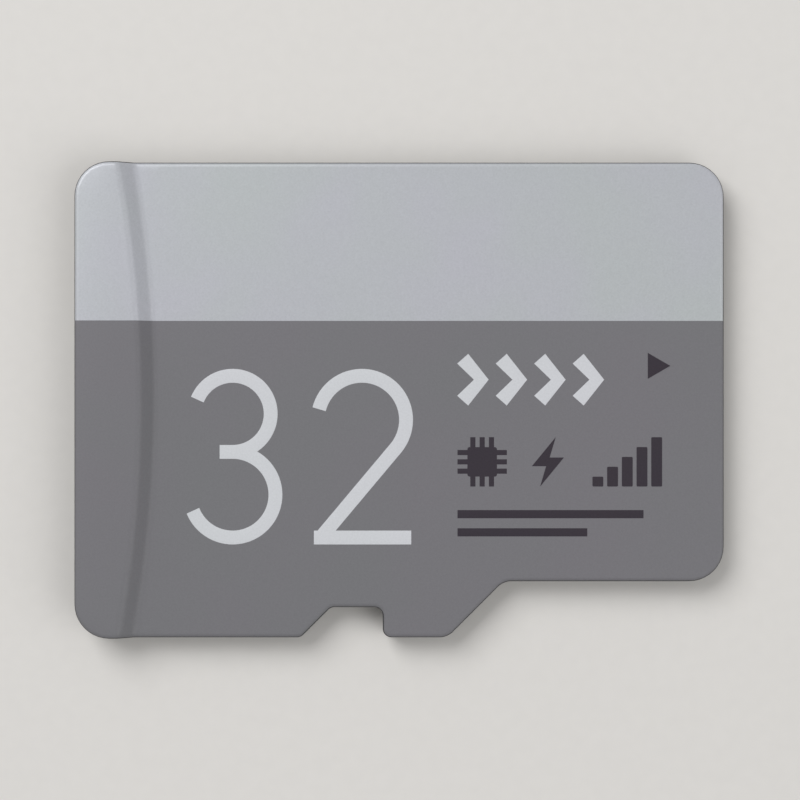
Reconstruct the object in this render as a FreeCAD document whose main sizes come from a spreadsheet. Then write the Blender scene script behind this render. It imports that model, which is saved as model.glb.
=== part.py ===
import FreeCAD, Part
import os
import Sketcher
from typing import NamedTuple

# A removable memory card of the small standard size, lying flat with its contacts underneath.
# Millimetres. +X is the way the card is pushed into its slot, +Y is the straight long edge and
# +Z is the label side. The origin is the middle of the card's footprint, on the contact face.

# Sizes of the card
SIZES = {
    # Outline seen from the label side
    "card_length": 15.0,
    "card_width": 11.0,
    "card_thickness": 0.7,
    "shoulder_step": 1.3,
    "shoulder_length": 6.4,
    "slant_angle": 45.0,
    "notch_front": 7.9,
    "notch_floor": 1.2,
    "notch_depth": 0.7,
    "end_corner": 0.8,
    "shoulder_corner": 0.4,
    "notch_corner": 0.2,
    # Raised grip lip across the rear end
    "lip_height": 0.3,
    "lip_crest_depth": 1.5,
    "lip_ramp_run": 0.34,
    "lip_arc": 30.0,
    "lip_sweep": 60.0,
    "lip_blend": 0.2,
    "top_edge": 0.12,
    # Circuit board under the moulding
    "board_thickness": 0.18,
    "lead_in_run": 0.2,
    "lead_in_rise": 0.1,
    # Gold contacts, measured back from the front edge
    "contact_count": 8,
    "contact_pitch": 1.1,
    "contact_width": 0.8,
    "contact_rear": 4.0,
    "signal_setback": 1.1,
    "supply_setback": 0.3,
    "contact_corner": 0.12,
    "contact_recess": 0.02,
    "contact_thickness": 0.03,
    # Gold lands in the top of the board, under the bond wires and the chip parts
    "land_thickness": 0.02,
    "finger_length": 0.26,
    "finger_width": 0.1,
    "chip_land_margin": 0.05,
    # Silicon inside the moulding
    "stack_rear_wall": 0.9,
    "stack_side_wall": 0.95,
    "stack_front_room": 4.4,
    "die_film": 0.015,
    "die_thickness": 0.08,
    "die_stagger": 0.45,
    "controller_length": 3.2,
    "controller_width": 2.6,
    "controller_thickness": 0.07,
    "controller_setback": 0.5,
    # Bond wires from the silicon down to the board
    "wire_thickness": 0.025,
    "wire_loop": 0.06,
    "wire_foot": 0.08,
    "wire_pad_inset": 0.12,
    "wire_edge_room": 0.06,
    "stack_wire_count": 12,
    "stack_wire_margin": 0.6,
    "stack_wire_shift": 0.07,
    "stack_wire_reach": 0.35,
    "controller_wire_count": 8,
    "controller_wire_margin": 0.25,
    "controller_wire_reach": 0.5,
    # Chip capacitors and a resistor between the silicon and the front edge
    "chip_length": 0.6,
    "chip_width": 0.3,
    "chip_end": 0.15,
    "chip_plating": 0.015,
    "chip_pitch": 1.8,
    "chip_front_room": 2.4,
    "capacitor_height": 0.3,
    "resistor_height": 0.23,
    # Overrun of a cut past the face that it opens
    "cut_overrun": 1.0,
}

# Contacts that reach nearer the front edge, so that power is made first and broken last
SUPPLY_CONTACTS = (4, 6)
CHIP_NAMES = ("capacitor_1", "capacitor_2", "capacitor_3", "resistor_1")

# Tolerances: two places or volumes count as the same, and a face counts as upright
SAME = 1e-6
UPRIGHT = 1e-3

# Places that several pieces share, as formulas over the sheet
FRONT = "Sizes.card_length / 2"
SIDE = "Sizes.card_width / 2"
FRONT_WIDTH = "(Sizes.card_width - Sizes.shoulder_step)"
CENTRE_LINE = "Sizes.shoulder_step / 2"
BOARD_TOP = "Sizes.board_thickness"
DIE_LENGTH = "(Sizes.card_length - Sizes.stack_rear_wall - Sizes.stack_front_room)"
DIE_WIDTH = f"({FRONT_WIDTH} - 2 * Sizes.stack_side_wall)"
DIE_REAR = f"(Sizes.stack_rear_wall - {FRONT})"
UPPER_REAR = f"({DIE_REAR} + Sizes.die_stagger)"
UPPER_FRONT = f"({UPPER_REAR} + {DIE_LENGTH})"
CONTROLLER_FRONT = f"({UPPER_FRONT} - Sizes.controller_setback)"
LOWER_BASE = f"({BOARD_TOP} + Sizes.die_film)"
LOWER_TOP = f"({LOWER_BASE} + Sizes.die_thickness)"
UPPER_BASE = f"({LOWER_TOP} + Sizes.die_film)"
UPPER_TOP = f"({UPPER_BASE} + Sizes.die_thickness)"
CONTROLLER_BASE = f"({UPPER_TOP} + Sizes.die_film)"
CONTROLLER_TOP = f"({CONTROLLER_BASE} + Sizes.controller_thickness)"
STACK_ROOM = f"({DIE_WIDTH} - 2 * Sizes.stack_wire_margin)"
STACK_LANDING = f"({DIE_REAR} - Sizes.stack_wire_reach)"
CONTROLLER_ROOM = "(Sizes.controller_width - 2 * Sizes.controller_wire_margin)"
CONTROLLER_LANDING = f"({UPPER_FRONT} + Sizes.controller_wire_reach)"
CHIP_MIDDLE = f"({FRONT} - Sizes.chip_front_room)"
CHIP_ROOM = f"({len(CHIP_NAMES) - 1} * Sizes.chip_pitch)"
SIGNAL_LENGTH = "(Sizes.contact_rear - Sizes.signal_setback)"
SUPPLY_LENGTH = "(Sizes.contact_rear - Sizes.supply_setback)"

doc = FreeCAD.newDocument("memory_card")
sheet = doc.addObject("Spreadsheet::Sheet", "Sizes")
for row, (alias, number) in enumerate(SIZES.items(), start=1):
    sheet.set(f"A{row}", alias)
    sheet.set(f"B{row}", str(number))
    sheet.setAlias(f"B{row}", alias)
doc.recompute()


def value(formula):
    """Return the number that a formula over the sheet gives."""
    result = sheet.evalExpression(formula)
    return float(getattr(result, "Value", result))


def bind(target, **formulas):
    """Tie properties of an object to formulas over the sheet."""
    for name, formula in formulas.items():
        target.setExpression(name.replace("__", "."), formula)


def place(target, along, across, up):
    """Tie the place of an object to formulas over the sheet."""
    bind(target, Placement__Base__x=along, Placement__Base__y=across, Placement__Base__z=up)


def new_sketch(body, name, plane_role, along="0", across="0", up="0"):
    """Add a sketch on one of the body's own planes, shifted by formulas within that plane."""
    sketch = body.newObject("Sketcher::SketchObject", name)
    plane = next(item for item in body.Origin.OriginFeatures if item.Role == plane_role)
    sketch.AttachmentSupport = [(plane, "")]
    sketch.MapMode = "FlatFace"
    bind(
        sketch,
        AttachmentOffset__Base__x=along,
        AttachmentOffset__Base__y=across,
        AttachmentOffset__Base__z=up,
    )
    return sketch


def polygon(sketch, corners):
    """Draw a closed run of lines through the corners, joined end to start."""
    points = [FreeCAD.Vector(along, up, 0) for along, up in corners]
    count = len(points)
    for index in range(count):
        sketch.addGeometry(Part.LineSegment(points[index], points[(index + 1) % count]), False)
    for index in range(count):
        sketch.addConstraint(Sketcher.Constraint("Coincident", index, 2, (index + 1) % count, 1))


def level(sketch, direction, lines):
    """Hold lines of a sketch horizontal or vertical."""
    for line in lines:
        sketch.addConstraint(Sketcher.Constraint(direction, line))


def dimension(sketch, name, kind, references, formula):
    """Add a named dimension to a sketch and tie it to a formula over the sheet."""
    start = value(formula)
    if kind == "Angle":
        start = FreeCAD.Units.Quantity(f"{start} deg").getValueAs("rad").Value
        formula = f"({formula}) * 1 deg"
    index = sketch.addConstraint(Sketcher.Constraint(kind, *references, start))
    sketch.renameConstraint(index, name)
    sketch.setExpression(f"Constraints.{name}", formula)


def card_outline(body, up):
    """Draw the card's sharp outline: straight long edge, shoulder, and locking notch."""
    sketch = new_sketch(body, f"{body.Name}_outline", "XY_Plane", up=up)
    front, side = value(FRONT), value(SIDE)
    step, depth = value("Sizes.shoulder_step"), value("Sizes.notch_depth")
    shoulder = front - value("Sizes.shoulder_length")
    notch = front - value("Sizes.notch_front")
    floor = notch - value("Sizes.notch_floor")
    polygon(sketch, [
        (-front, -side),
        (floor - depth, -side),
        (floor, depth - side),
        (notch, depth - side),
        (notch, -side),
        (shoulder, -side),
        (shoulder + step, step - side),
        (front, step - side),
        (front, side),
        (-front, side),
    ])
    level(sketch, "Horizontal", [0, 2, 4, 6, 8])
    level(sketch, "Vertical", [3, 7, 9])
    sketch.addConstraint(Sketcher.Constraint("Horizontal", 0, 1, 4, 1))
    dimension(sketch, "rear_half", "DistanceX", (0, 1, -1, 1), FRONT)
    dimension(sketch, "front_half", "DistanceX", (-1, 1, 8, 1), FRONT)
    dimension(sketch, "notched_half", "DistanceY", (0, 1, -1, 1), SIDE)
    dimension(sketch, "straight_half", "DistanceY", (-1, 1, 8, 1), SIDE)
    dimension(sketch, "front_width", "DistanceY", (7, 1, 7, 2), FRONT_WIDTH)
    dimension(sketch, "shoulder_length", "DistanceX", (5, 1, 7, 1), "Sizes.shoulder_length")
    dimension(sketch, "shoulder_slant", "Angle", (5,), "Sizes.slant_angle")
    dimension(sketch, "notch_front", "DistanceX", (4, 1, 7, 1), "Sizes.notch_front")
    dimension(sketch, "notch_floor", "DistanceX", (2, 1, 2, 2), "Sizes.notch_floor")
    dimension(sketch, "notch_depth", "DistanceY", (1, 1, 1, 2), "Sizes.notch_depth")
    dimension(sketch, "notch_slant", "Angle", (1,), "Sizes.slant_angle")
    return sketch


def fillet(body, name, base, edges, radius):
    """Round the chosen edges of a feature with a radius from the sheet."""
    feature = body.newObject("PartDesign::Fillet", name)
    feature.Base = (base, edges)
    bind(feature, Radius=radius)
    doc.recompute()
    return feature


def edges_where(shape, test):
    """Name the edges of a shape that pass a test."""
    return [f"Edge{number}" for number, edge in enumerate(shape.Edges, start=1) if test(edge)]


def corner_edges(shape, sketch, corners):
    """Name the upright edges that stand on the chosen corners of a sharp outline."""
    points = [sketch.Geometry[corner].StartPoint for corner in corners]

    def stands_on_corner(edge):
        ends = [vertex.Point for vertex in edge.Vertexes]
        if len(ends) != 2 or abs(ends[0].z - ends[1].z) < SAME:
            return False
        flat = [FreeCAD.Vector(end.x, end.y, 0) for end in ends]
        return any(all(end.distanceToPoint(point) < SAME for end in flat) for point in points)

    return edges_where(shape, stands_on_corner)


def card_plate(name, up, thickness):
    """Pad the card's outline to a plate and round its upright corners."""
    body = doc.addObject("PartDesign::Body", name)
    sketch = card_outline(body, up)
    pad = body.newObject("PartDesign::Pad", f"{name}_plate")
    pad.Profile = sketch
    bind(pad, Length=thickness)
    doc.recompute()
    groups = {
        "ends": ([0, 7, 8, 9], "Sizes.end_corner"),
        "shoulder": ([5, 6], "Sizes.shoulder_corner"),
        "notch": ([1, 2, 3, 4], "Sizes.notch_corner"),
    }
    feature = pad
    for group, (corners, radius) in groups.items():
        edges = corner_edges(feature.Shape, sketch, corners)
        feature = fillet(body, f"{name}_{group}", feature, edges, radius)
    return body, feature


def check_count(body, count):
    """Stop if a group doesn't hold as many separate solids as it should."""
    if len(body.Shape.Solids) != count:
        raise RuntimeError(f"{body.Name} has {len(body.Shape.Solids)} solids, not {count}")


def check_cut(before, feature, name):
    """Stop if a cut took nothing away."""
    if feature.Shape.Volume >= before - SAME:
        raise RuntimeError(f"{name} removed no material")


def shape_lip(body, plate):
    """Cut the plate down in front of the rear lip, round a distant upright axis, and blend it."""
    sketch = new_sketch(body, "lip_profile", "XZ_Plane")
    crest = value(f"Sizes.lip_crest_depth - {FRONT}")
    foot = crest + value("Sizes.lip_ramp_run")
    face = value("Sizes.card_thickness")
    top = face + value("Sizes.lip_height")
    overrun = value("Sizes.cut_overrun")
    ahead = value(FRONT) + overrun
    over = top + overrun
    polygon(sketch, [(foot, face), (ahead, face), (ahead, over), (crest, over), (crest, top)])
    level(sketch, "Horizontal", [0, 2])
    level(sketch, "Vertical", [1, 3])
    axis_place = crest - value("Sizes.lip_arc")
    axis_ends = [FreeCAD.Vector(axis_place, 0, 0), FreeCAD.Vector(axis_place, face, 0)]
    axis = sketch.addGeometry(Part.LineSegment(*axis_ends), True)
    level(sketch, "Vertical", [axis])
    sketch.addConstraint(Sketcher.Constraint("PointOnObject", axis, 1, -1))
    dimension(sketch, "axis_height", "DistanceY", (axis, 1, axis, 2), "Sizes.card_thickness")
    dimension(sketch, "crest_arc", "DistanceX", (axis, 1, 4, 1), "Sizes.lip_arc")
    dimension(sketch, "crest_place", "DistanceX", (4, 1, -1, 1), f"{FRONT} - Sizes.lip_crest_depth")
    dimension(sketch, "ramp_run", "DistanceX", (4, 1, 0, 1), "Sizes.lip_ramp_run")
    dimension(sketch, "ramp_rise", "DistanceY", (0, 1, 4, 1), "Sizes.lip_height")
    dimension(sketch, "face_level", "DistanceY", (-1, 1, 0, 1), "Sizes.card_thickness")
    dimension(sketch, "front_overrun", "DistanceX", (-1, 1, 1, 1), f"{FRONT} + Sizes.cut_overrun")
    dimension(sketch, "top_overrun", "DistanceY", (4, 1, 3, 1), "Sizes.cut_overrun")
    groove = body.newObject("PartDesign::Groove", "lip_cut")
    groove.Profile = sketch
    groove.ReferenceAxis = (sketch, ["Axis0"])
    groove.Midplane = True
    bind(groove, Angle="Sizes.lip_sweep")
    doc.recompute()
    check_cut(plate.Shape.Volume, groove, "lip_cut")
    crest_radius = value("Sizes.lip_arc")
    foot_radius = value("Sizes.lip_arc + Sizes.lip_ramp_run")

    def bounds_ramp(edge):
        radius = getattr(edge.Curve, "Radius", 0)
        return min(abs(radius - crest_radius), abs(radius - foot_radius)) < SAME

    edges = edges_where(groove.Shape, bounds_ramp)
    blend = fillet(body, "lip_blend", groove, edges, "Sizes.lip_blend")

    def is_upright(surface, edge):
        parameter = surface.Surface.parameter(edge.valueAt(sum(edge.ParameterRange) / 2))
        return abs(surface.normalAt(*parameter).z) < UPRIGHT

    def rims_label_side(edge):
        if edge.CenterOfMass.z < face - SAME:
            return False
        surfaces = blend.Shape.ancestorsOfType(edge, Part.Face)
        return sorted(is_upright(surface, edge) for surface in surfaces) == [False, True]

    return fillet(body, "label_rim", blend, edges_where(blend.Shape, rims_label_side), "Sizes.top_edge")


def rounded_rectangle(sketch, length, width, radius):
    """Draw a rectangle with rounded corners about the sketch's origin."""
    half_length, half_width, round_off = value(length) / 2, value(width) / 2, value(radius)
    inner_length, inner_width = half_length - round_off, half_width - round_off
    quarter = FreeCAD.Units.Quantity("90 deg").getValueAs("rad").Value
    normal = FreeCAD.Vector(0, 0, 1)
    sides = [
        ((-inner_length, -half_width), (inner_length, -half_width), (inner_length, -inner_width), -1),
        ((half_length, -inner_width), (half_length, inner_width), (inner_length, inner_width), 0),
        ((inner_length, half_width), (-inner_length, half_width), (-inner_length, inner_width), 1),
        ((-half_length, inner_width), (-half_length, -inner_width), (-inner_length, -inner_width), 2),
    ]
    for start, end, centre, turns in sides:
        circle = Part.Circle(FreeCAD.Vector(*centre, 0), normal, round_off)
        sketch.addGeometry(Part.LineSegment(FreeCAD.Vector(*start, 0), FreeCAD.Vector(*end, 0)), False)
        sketch.addGeometry(Part.ArcOfCircle(circle, turns * quarter, (turns + 1) * quarter), False)
    for index in range(len(sides)):
        line, arc, following = 2 * index, 2 * index + 1, (2 * index + 2) % 8
        sketch.addConstraint(Sketcher.Constraint("Tangent", line, 2, arc, 1))
        sketch.addConstraint(Sketcher.Constraint("Tangent", arc, 2, following, 1))
    for arc in (3, 5, 7):
        sketch.addConstraint(Sketcher.Constraint("Equal", 1, arc))
    level(sketch, "Horizontal", [0])
    level(sketch, "Vertical", [2])
    sketch.addConstraint(Sketcher.Constraint("Symmetric", 1, 3, 5, 3, -1, 1))
    dimension(sketch, "length", "DistanceX", (6, 1, 2, 1), length)
    dimension(sketch, "width", "DistanceY", (0, 1, 4, 1), width)
    dimension(sketch, "corner", "Radius", (1,), radius)


def plain_rectangle(sketch, length, width):
    """Draw a rectangle with sharp corners about the sketch's origin."""
    half_length, half_width = value(length) / 2, value(width) / 2
    polygon(sketch, [
        (-half_length, -half_width),
        (half_length, -half_width),
        (half_length, half_width),
        (-half_length, half_width),
    ])
    level(sketch, "Horizontal", [0, 2])
    level(sketch, "Vertical", [1, 3])
    sketch.addConstraint(Sketcher.Constraint("Symmetric", 0, 1, 2, 1, -1, 1))
    dimension(sketch, "length", "DistanceX", (0, 1, 0, 2), length)
    dimension(sketch, "width", "DistanceY", (1, 1, 1, 2), width)


def spread(body, feature, sketch, axis, count, room):
    """Repeat a feature in an even row that fills the room along one axis of its sketch."""
    row = body.newObject("PartDesign::LinearPattern", f"{feature.Name}_row")
    row.Originals = [feature]
    row.Direction = (sketch, [axis])
    row.Mode = "Extent"
    row.Occurrences = count
    bind(row, Length=room)
    body.Tip = row
    doc.recompute()
    return row


def contact_place(number):
    """Return the formula for how far across the card a contact lies."""
    return f"{CENTRE_LINE} + ({number} - (Sizes.contact_count + 1) / 2) * Sizes.contact_pitch"


def contact_length(number):
    """Return the formula for a contact's length."""
    return SUPPLY_LENGTH if number in SUPPLY_CONTACTS else SIGNAL_LENGTH


def contact_middle(length):
    """Return the formula for how far along the card the middle of a contact lies."""
    return f"{FRONT} - Sizes.contact_rear + {length} / 2"


def contact_window(body, name, first, length, count, spacing):
    """Sink a row of windows for contacts into the underside of the board."""
    before = body.Tip.Shape.Volume
    sketch = new_sketch(body, f"{name}_outline", "XY_Plane", contact_middle(length), contact_place(first))
    rounded_rectangle(sketch, length, "Sizes.contact_width", "Sizes.contact_corner")
    pocket = body.newObject("PartDesign::Pocket", name)
    pocket.Profile = sketch
    pocket.Reversed = True
    bind(pocket, Length="Sizes.contact_recess + Sizes.contact_thickness")
    doc.recompute()
    check_cut(before, pocket, name)
    row = body.newObject("PartDesign::LinearPattern", f"{name}_row")
    row.Originals = [pocket]
    row.Direction = (sketch, ["V_Axis"])
    row.Mode = "Spacing"
    row.Occurrences = count
    bind(row, Offset=spacing)
    body.Tip = row
    doc.recompute()
    return row


class LandRow(NamedTuple):
    """One row of equal gold lands across the board: its place and sizes as formulas over the sheet."""

    along: str
    first: str
    length: str
    width: str
    count: int
    room: str


def finger_row(middle, count, room, shift):
    """Describe the row of bond fingers under the feet of a row of wires."""
    return LandRow(
        middle, f"{CENTRE_LINE} - {room} / 2 + {shift}", "Sizes.finger_length", "Sizes.finger_width",
        int(value(count)), room,
    )


def chip_land_row(side):
    """Describe the row of lands under one end of the chip parts; the side is -1 or 1."""
    end = f"{side} * (Sizes.chip_length - Sizes.chip_end + Sizes.chip_land_margin) / 2"
    return LandRow(
        CHIP_MIDDLE, f"{CENTRE_LINE} - {CHIP_ROOM} / 2 + {end}",
        "Sizes.chip_width + 2 * Sizes.chip_land_margin", "Sizes.chip_end + Sizes.chip_land_margin",
        len(CHIP_NAMES), CHIP_ROOM,
    )


def land_groups():
    """Name the groups of gold lands in the top of the board, each with its rows."""
    rear_middle = f"{STACK_LANDING} + Sizes.wire_foot / 2"
    front_middle = f"{CONTROLLER_LANDING} - Sizes.wire_foot / 2"
    return {
        "rear_bond_fingers": [
            finger_row(rear_middle, "Sizes.stack_wire_count", STACK_ROOM, "Sizes.stack_wire_shift"),
        ],
        "front_bond_fingers": [
            finger_row(front_middle, "Sizes.controller_wire_count", CONTROLLER_ROOM, "0"),
        ],
        "chip_lands": [chip_land_row(-1), chip_land_row(1)],
    }


def land_feature(body, kind, name, row):
    """Add one row of lands to a body, or of windows for them, from the board's top down."""
    sketch = new_sketch(body, f"{name}_outline", "XY_Plane", row.along, row.first, BOARD_TOP)
    plain_rectangle(sketch, row.length, row.width)
    feature = body.newObject(f"PartDesign::{kind}", name)
    feature.Profile = sketch
    feature.Reversed = kind == "Pad"
    bind(feature, Length="Sizes.land_thickness")
    doc.recompute()
    return spread(body, feature, sketch, "V_Axis", row.count, row.room)


def make_lands():
    """Build the gold lands that lie flush in the top of the board, one piece for each group."""
    bodies = []
    for group, rows in land_groups().items():
        body = doc.addObject("PartDesign::Body", group)
        body.AllowCompound = True
        for index, row in enumerate(rows, start=1):
            land_feature(body, "Pad", f"{group}_{index}", row)
        check_count(body, sum(row.count for row in rows))
        bodies.append(body)
    return bodies


def make_board():
    """Build the circuit board: the card's outline, a bevelled front edge and windows for its gold."""
    body, plate = card_plate("circuit_board", "0", BOARD_TOP)
    front, run, rise = value(FRONT), value("Sizes.lead_in_run"), value("Sizes.lead_in_rise")
    sketch = new_sketch(body, "lead_in_profile", "XZ_Plane")
    polygon(sketch, [(front - run, 0), (front, 0), (front, rise)])
    level(sketch, "Horizontal", [0])
    level(sketch, "Vertical", [1])
    sketch.addConstraint(Sketcher.Constraint("PointOnObject", 0, 1, -1))
    dimension(sketch, "front", "DistanceX", (-1, 1, 1, 1), FRONT)
    dimension(sketch, "run", "DistanceX", (0, 1, 0, 2), "Sizes.lead_in_run")
    dimension(sketch, "rise", "DistanceY", (1, 1, 1, 2), "Sizes.lead_in_rise")
    bevel = body.newObject("PartDesign::Pocket", "lead_in")
    bevel.Profile = sketch
    bevel.Midplane = True
    bind(bevel, Length="2 * Sizes.card_width")
    doc.recompute()
    check_cut(plate.Shape.Volume, bevel, "lead_in")
    count = int(value("Sizes.contact_count"))
    contact_window(body, "signal_window", 1, SIGNAL_LENGTH, count, "Sizes.contact_pitch")
    apart = SUPPLY_CONTACTS[1] - SUPPLY_CONTACTS[0]
    contact_window(
        body, "supply_window", SUPPLY_CONTACTS[0], SUPPLY_LENGTH, len(SUPPLY_CONTACTS),
        f"{apart} * Sizes.contact_pitch",
    )
    for group, rows in land_groups().items():
        for index, row in enumerate(rows, start=1):
            before = body.Tip.Shape.Volume
            windows = land_feature(body, "Pocket", f"{group}_window_{index}", row)
            check_cut(before, windows, windows.Name)
    return body


def make_contact(number):
    """Build one gold contact, seated at the bottom of its window."""
    body = doc.addObject("PartDesign::Body", f"contact_{number}")
    length = contact_length(number)
    sketch = new_sketch(body, f"contact_{number}_outline", "XY_Plane")
    rounded_rectangle(sketch, length, "Sizes.contact_width", "Sizes.contact_corner")
    pad = body.newObject("PartDesign::Pad", f"contact_{number}_metal")
    pad.Profile = sketch
    bind(pad, Length="Sizes.contact_thickness")
    place(body, contact_middle(length), contact_place(number), "Sizes.contact_recess")
    return body


def make_block(name, length, width, height, along, across, up):
    """Build a plain block, such as a silicon die, from its low corner."""
    block = doc.addObject("Part::Box", name)
    bind(block, Length=length, Width=width, Height=height)
    place(block, along, across, up)
    return block


def make_dies():
    """Build two flash dies stacked in steps and the controller on top, each on its adhesive film."""
    across = f"{SIDE} - Sizes.stack_side_wall - {DIE_WIDTH}"
    footprints = {
        "lower": (DIE_LENGTH, DIE_WIDTH, DIE_REAR, across),
        "upper": (DIE_LENGTH, DIE_WIDTH, UPPER_REAR, across),
        "controller": (
            "Sizes.controller_length",
            "Sizes.controller_width",
            f"{CONTROLLER_FRONT} - Sizes.controller_length",
            f"{CENTRE_LINE} - Sizes.controller_width / 2",
        ),
    }
    layers = [
        ("die_film_lower", "lower", "Sizes.die_film", BOARD_TOP),
        ("flash_die_lower", "lower", "Sizes.die_thickness", LOWER_BASE),
        ("die_film_upper", "upper", "Sizes.die_film", LOWER_TOP),
        ("flash_die_upper", "upper", "Sizes.die_thickness", UPPER_BASE),
        ("die_film_controller", "controller", "Sizes.die_film", UPPER_TOP),
        ("controller_die", "controller", "Sizes.controller_thickness", CONTROLLER_BASE),
    ]
    blocks = []
    for name, footprint, height, up in layers:
        length, width, along, start = footprints[footprint]
        blocks.append(make_block(name, length, width, height, along, start, up))
    return blocks


def wire_profile(body, side, pad, pad_level, edge, landing, landing_level):
    """Draw one bond wire from the side: riser, level run past the edge, slope and flat foot.

    The side is 1 for a wire that runs to the front and -1 for one that runs to the rear. The foot
    ends at the landing.
    """
    sketch = new_sketch(body, f"{body.Name}_profile", "XZ_Plane")
    half = "Sizes.wire_thickness / 2"
    knee = f"{edge} + {side} * Sizes.wire_edge_room"
    heel = f"{landing} - {side} * Sizes.wire_foot"
    crown = f"{pad_level} + Sizes.wire_loop"
    under = f"{crown} - Sizes.wire_thickness"
    corners = [
        (f"{pad} - {side} * {half}", pad_level),
        (f"{pad} + {side} * {half}", pad_level),
        (f"{pad} + {side} * {half}", under),
        (knee, under),
        (heel, landing_level),
        (landing, landing_level),
        (landing, f"{landing_level} + Sizes.wire_thickness"),
        (f"{heel} + {side} * {half}", f"{landing_level} + Sizes.wire_thickness"),
        (f"{knee} + {side} * {half}", crown),
        (f"{pad} - {side} * {half}", crown),
    ]
    polygon(sketch, [(value(along), value(up)) for along, up in corners])
    for index, (along, up) in enumerate(corners):
        dimension(sketch, f"along_{index}", "DistanceX", (-1, 1, index, 1), along)
        dimension(sketch, f"up_{index}", "DistanceY", (-1, 1, index, 1), up)
    return sketch


def make_wires(name, count, room, shift, **profile):
    """Build a row of bond wires side by side, spread evenly over the room about the centre line."""
    body = doc.addObject("PartDesign::Body", name)
    body.AllowCompound = True
    sketch = wire_profile(body, **profile)
    pad = body.newObject("PartDesign::Pad", f"{name}_wire")
    pad.Profile = sketch
    pad.Midplane = True
    bind(pad, Length="Sizes.wire_thickness")
    doc.recompute()
    spread(body, pad, sketch, "N_Axis", int(value(count)), room)
    place(body, "0", f"{CENTRE_LINE} + {room} / 2 + {shift}", "0")
    doc.recompute()
    check_count(body, int(value(count)))
    return body


def make_bond_wires():
    """Wire the upper die to the lower one, and the lower one and the controller to the bond fingers."""
    ledge_pad = f"{DIE_REAR} + Sizes.wire_pad_inset"
    return [
        make_wires(
            "upper_die_wires", "Sizes.stack_wire_count", STACK_ROOM, "0",
            side=-1, pad=f"{UPPER_REAR} + Sizes.wire_pad_inset", pad_level=UPPER_TOP, edge=UPPER_REAR,
            landing=ledge_pad, landing_level=LOWER_TOP,
        ),
        make_wires(
            "lower_die_wires", "Sizes.stack_wire_count", STACK_ROOM, "Sizes.stack_wire_shift",
            side=-1, pad=ledge_pad, pad_level=LOWER_TOP, edge=DIE_REAR,
            landing=STACK_LANDING, landing_level=BOARD_TOP,
        ),
        make_wires(
            "controller_wires", "Sizes.controller_wire_count", CONTROLLER_ROOM, "0",
            side=1, pad=f"{CONTROLLER_FRONT} - Sizes.wire_pad_inset", pad_level=CONTROLLER_TOP,
            edge=UPPER_FRONT, landing=CONTROLLER_LANDING, landing_level=BOARD_TOP,
        ),
    ]


def make_chip(name, index, height):
    """Build one chip part: a ceramic block between two plated ends, crosswise on the board."""
    along = f"{CHIP_MIDDLE} - Sizes.chip_width / 2"
    across = f"{CENTRE_LINE} - {CHIP_ROOM} / 2 + {index} * Sizes.chip_pitch - Sizes.chip_length / 2"
    core = make_block(
        f"{name}_core",
        "Sizes.chip_width - 2 * Sizes.chip_plating",
        "Sizes.chip_length - 2 * Sizes.chip_plating",
        f"{height} - 2 * Sizes.chip_plating",
        f"{along} + Sizes.chip_plating",
        f"{across} + Sizes.chip_plating",
        f"{BOARD_TOP} + Sizes.chip_plating",
    )
    ends = [
        make_block(
            f"{name}_{end}_end", "Sizes.chip_width", "Sizes.chip_end", height, along, start, BOARD_TOP
        )
        for end, start in (
            ("near", across),
            ("far", f"{across} + Sizes.chip_length - Sizes.chip_end"),
        )
    ]
    chip = doc.addObject("Part::MultiFuse", name)
    chip.Shapes = [core, *ends]
    return chip


def make_chips():
    """Build the row of chip capacitors and the resistor beside them."""
    heights = {"capacitor": "Sizes.capacitor_height", "resistor": "Sizes.resistor_height"}
    return [
        make_chip(name, index, heights[name.split("_")[0]]) for index, name in enumerate(CHIP_NAMES)
    ]


def make_moulding(held):
    """Build the moulded body: the card's outline with its lip, cast round the pieces on the board."""
    thickness = "Sizes.card_thickness + Sizes.lip_height - Sizes.board_thickness"
    body, plate = card_plate("moulding_blank", BOARD_TOP, thickness)
    shape_lip(body, plate)
    held_pieces = doc.addObject("Part::MultiFuse", "held_pieces")
    held_pieces.Shapes = held
    moulding = doc.addObject("Part::Cut", "moulded_body")
    moulding.Base = body
    moulding.Tool = held_pieces
    doc.recompute()
    check_cut(body.Shape.Volume, moulding, "moulded_body")
    return moulding


def write_parts(pieces):
    """Check every object of the document, then write one file for each piece."""
    doc.recompute()
    for item in doc.Objects:
        if {"Invalid", "Error"} & set(item.State):
            raise RuntimeError(f"{item.Name} failed: {item.State}")
    for piece in pieces:
        if piece.Shape.isNull() or not piece.Shape.isValid():
            raise RuntimeError(f"{piece.Label} has no valid shape")
    os.makedirs("parts", exist_ok=True)
    for piece in pieces:
        piece.Shape.exportStep(f"parts/{piece.Label}.step")


board = make_board()
contacts = [make_contact(number) for number in range(1, int(value("Sizes.contact_count")) + 1)]
lands = make_lands()
silicon = make_dies()
wires = make_bond_wires()
chips = make_chips()
moulding = make_moulding([*silicon, *wires, *chips])
write_parts([moulding, board, *contacts, *lands, *silicon, *wires, *chips])
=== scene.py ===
"""Looks of a flat memory card: moulded shell, printed label, circuit board, gold contacts and studio.

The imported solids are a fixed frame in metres. New pieces are modelled in millimetres, with the label
side up and the contact end towards +X, and are brought to metres when they are finished.
"""

import logging
import math
from abc import ABC, abstractmethod
from collections.abc import Callable, Iterator, Sequence
from contextlib import contextmanager
from dataclasses import dataclass, field
from enum import Enum

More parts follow.
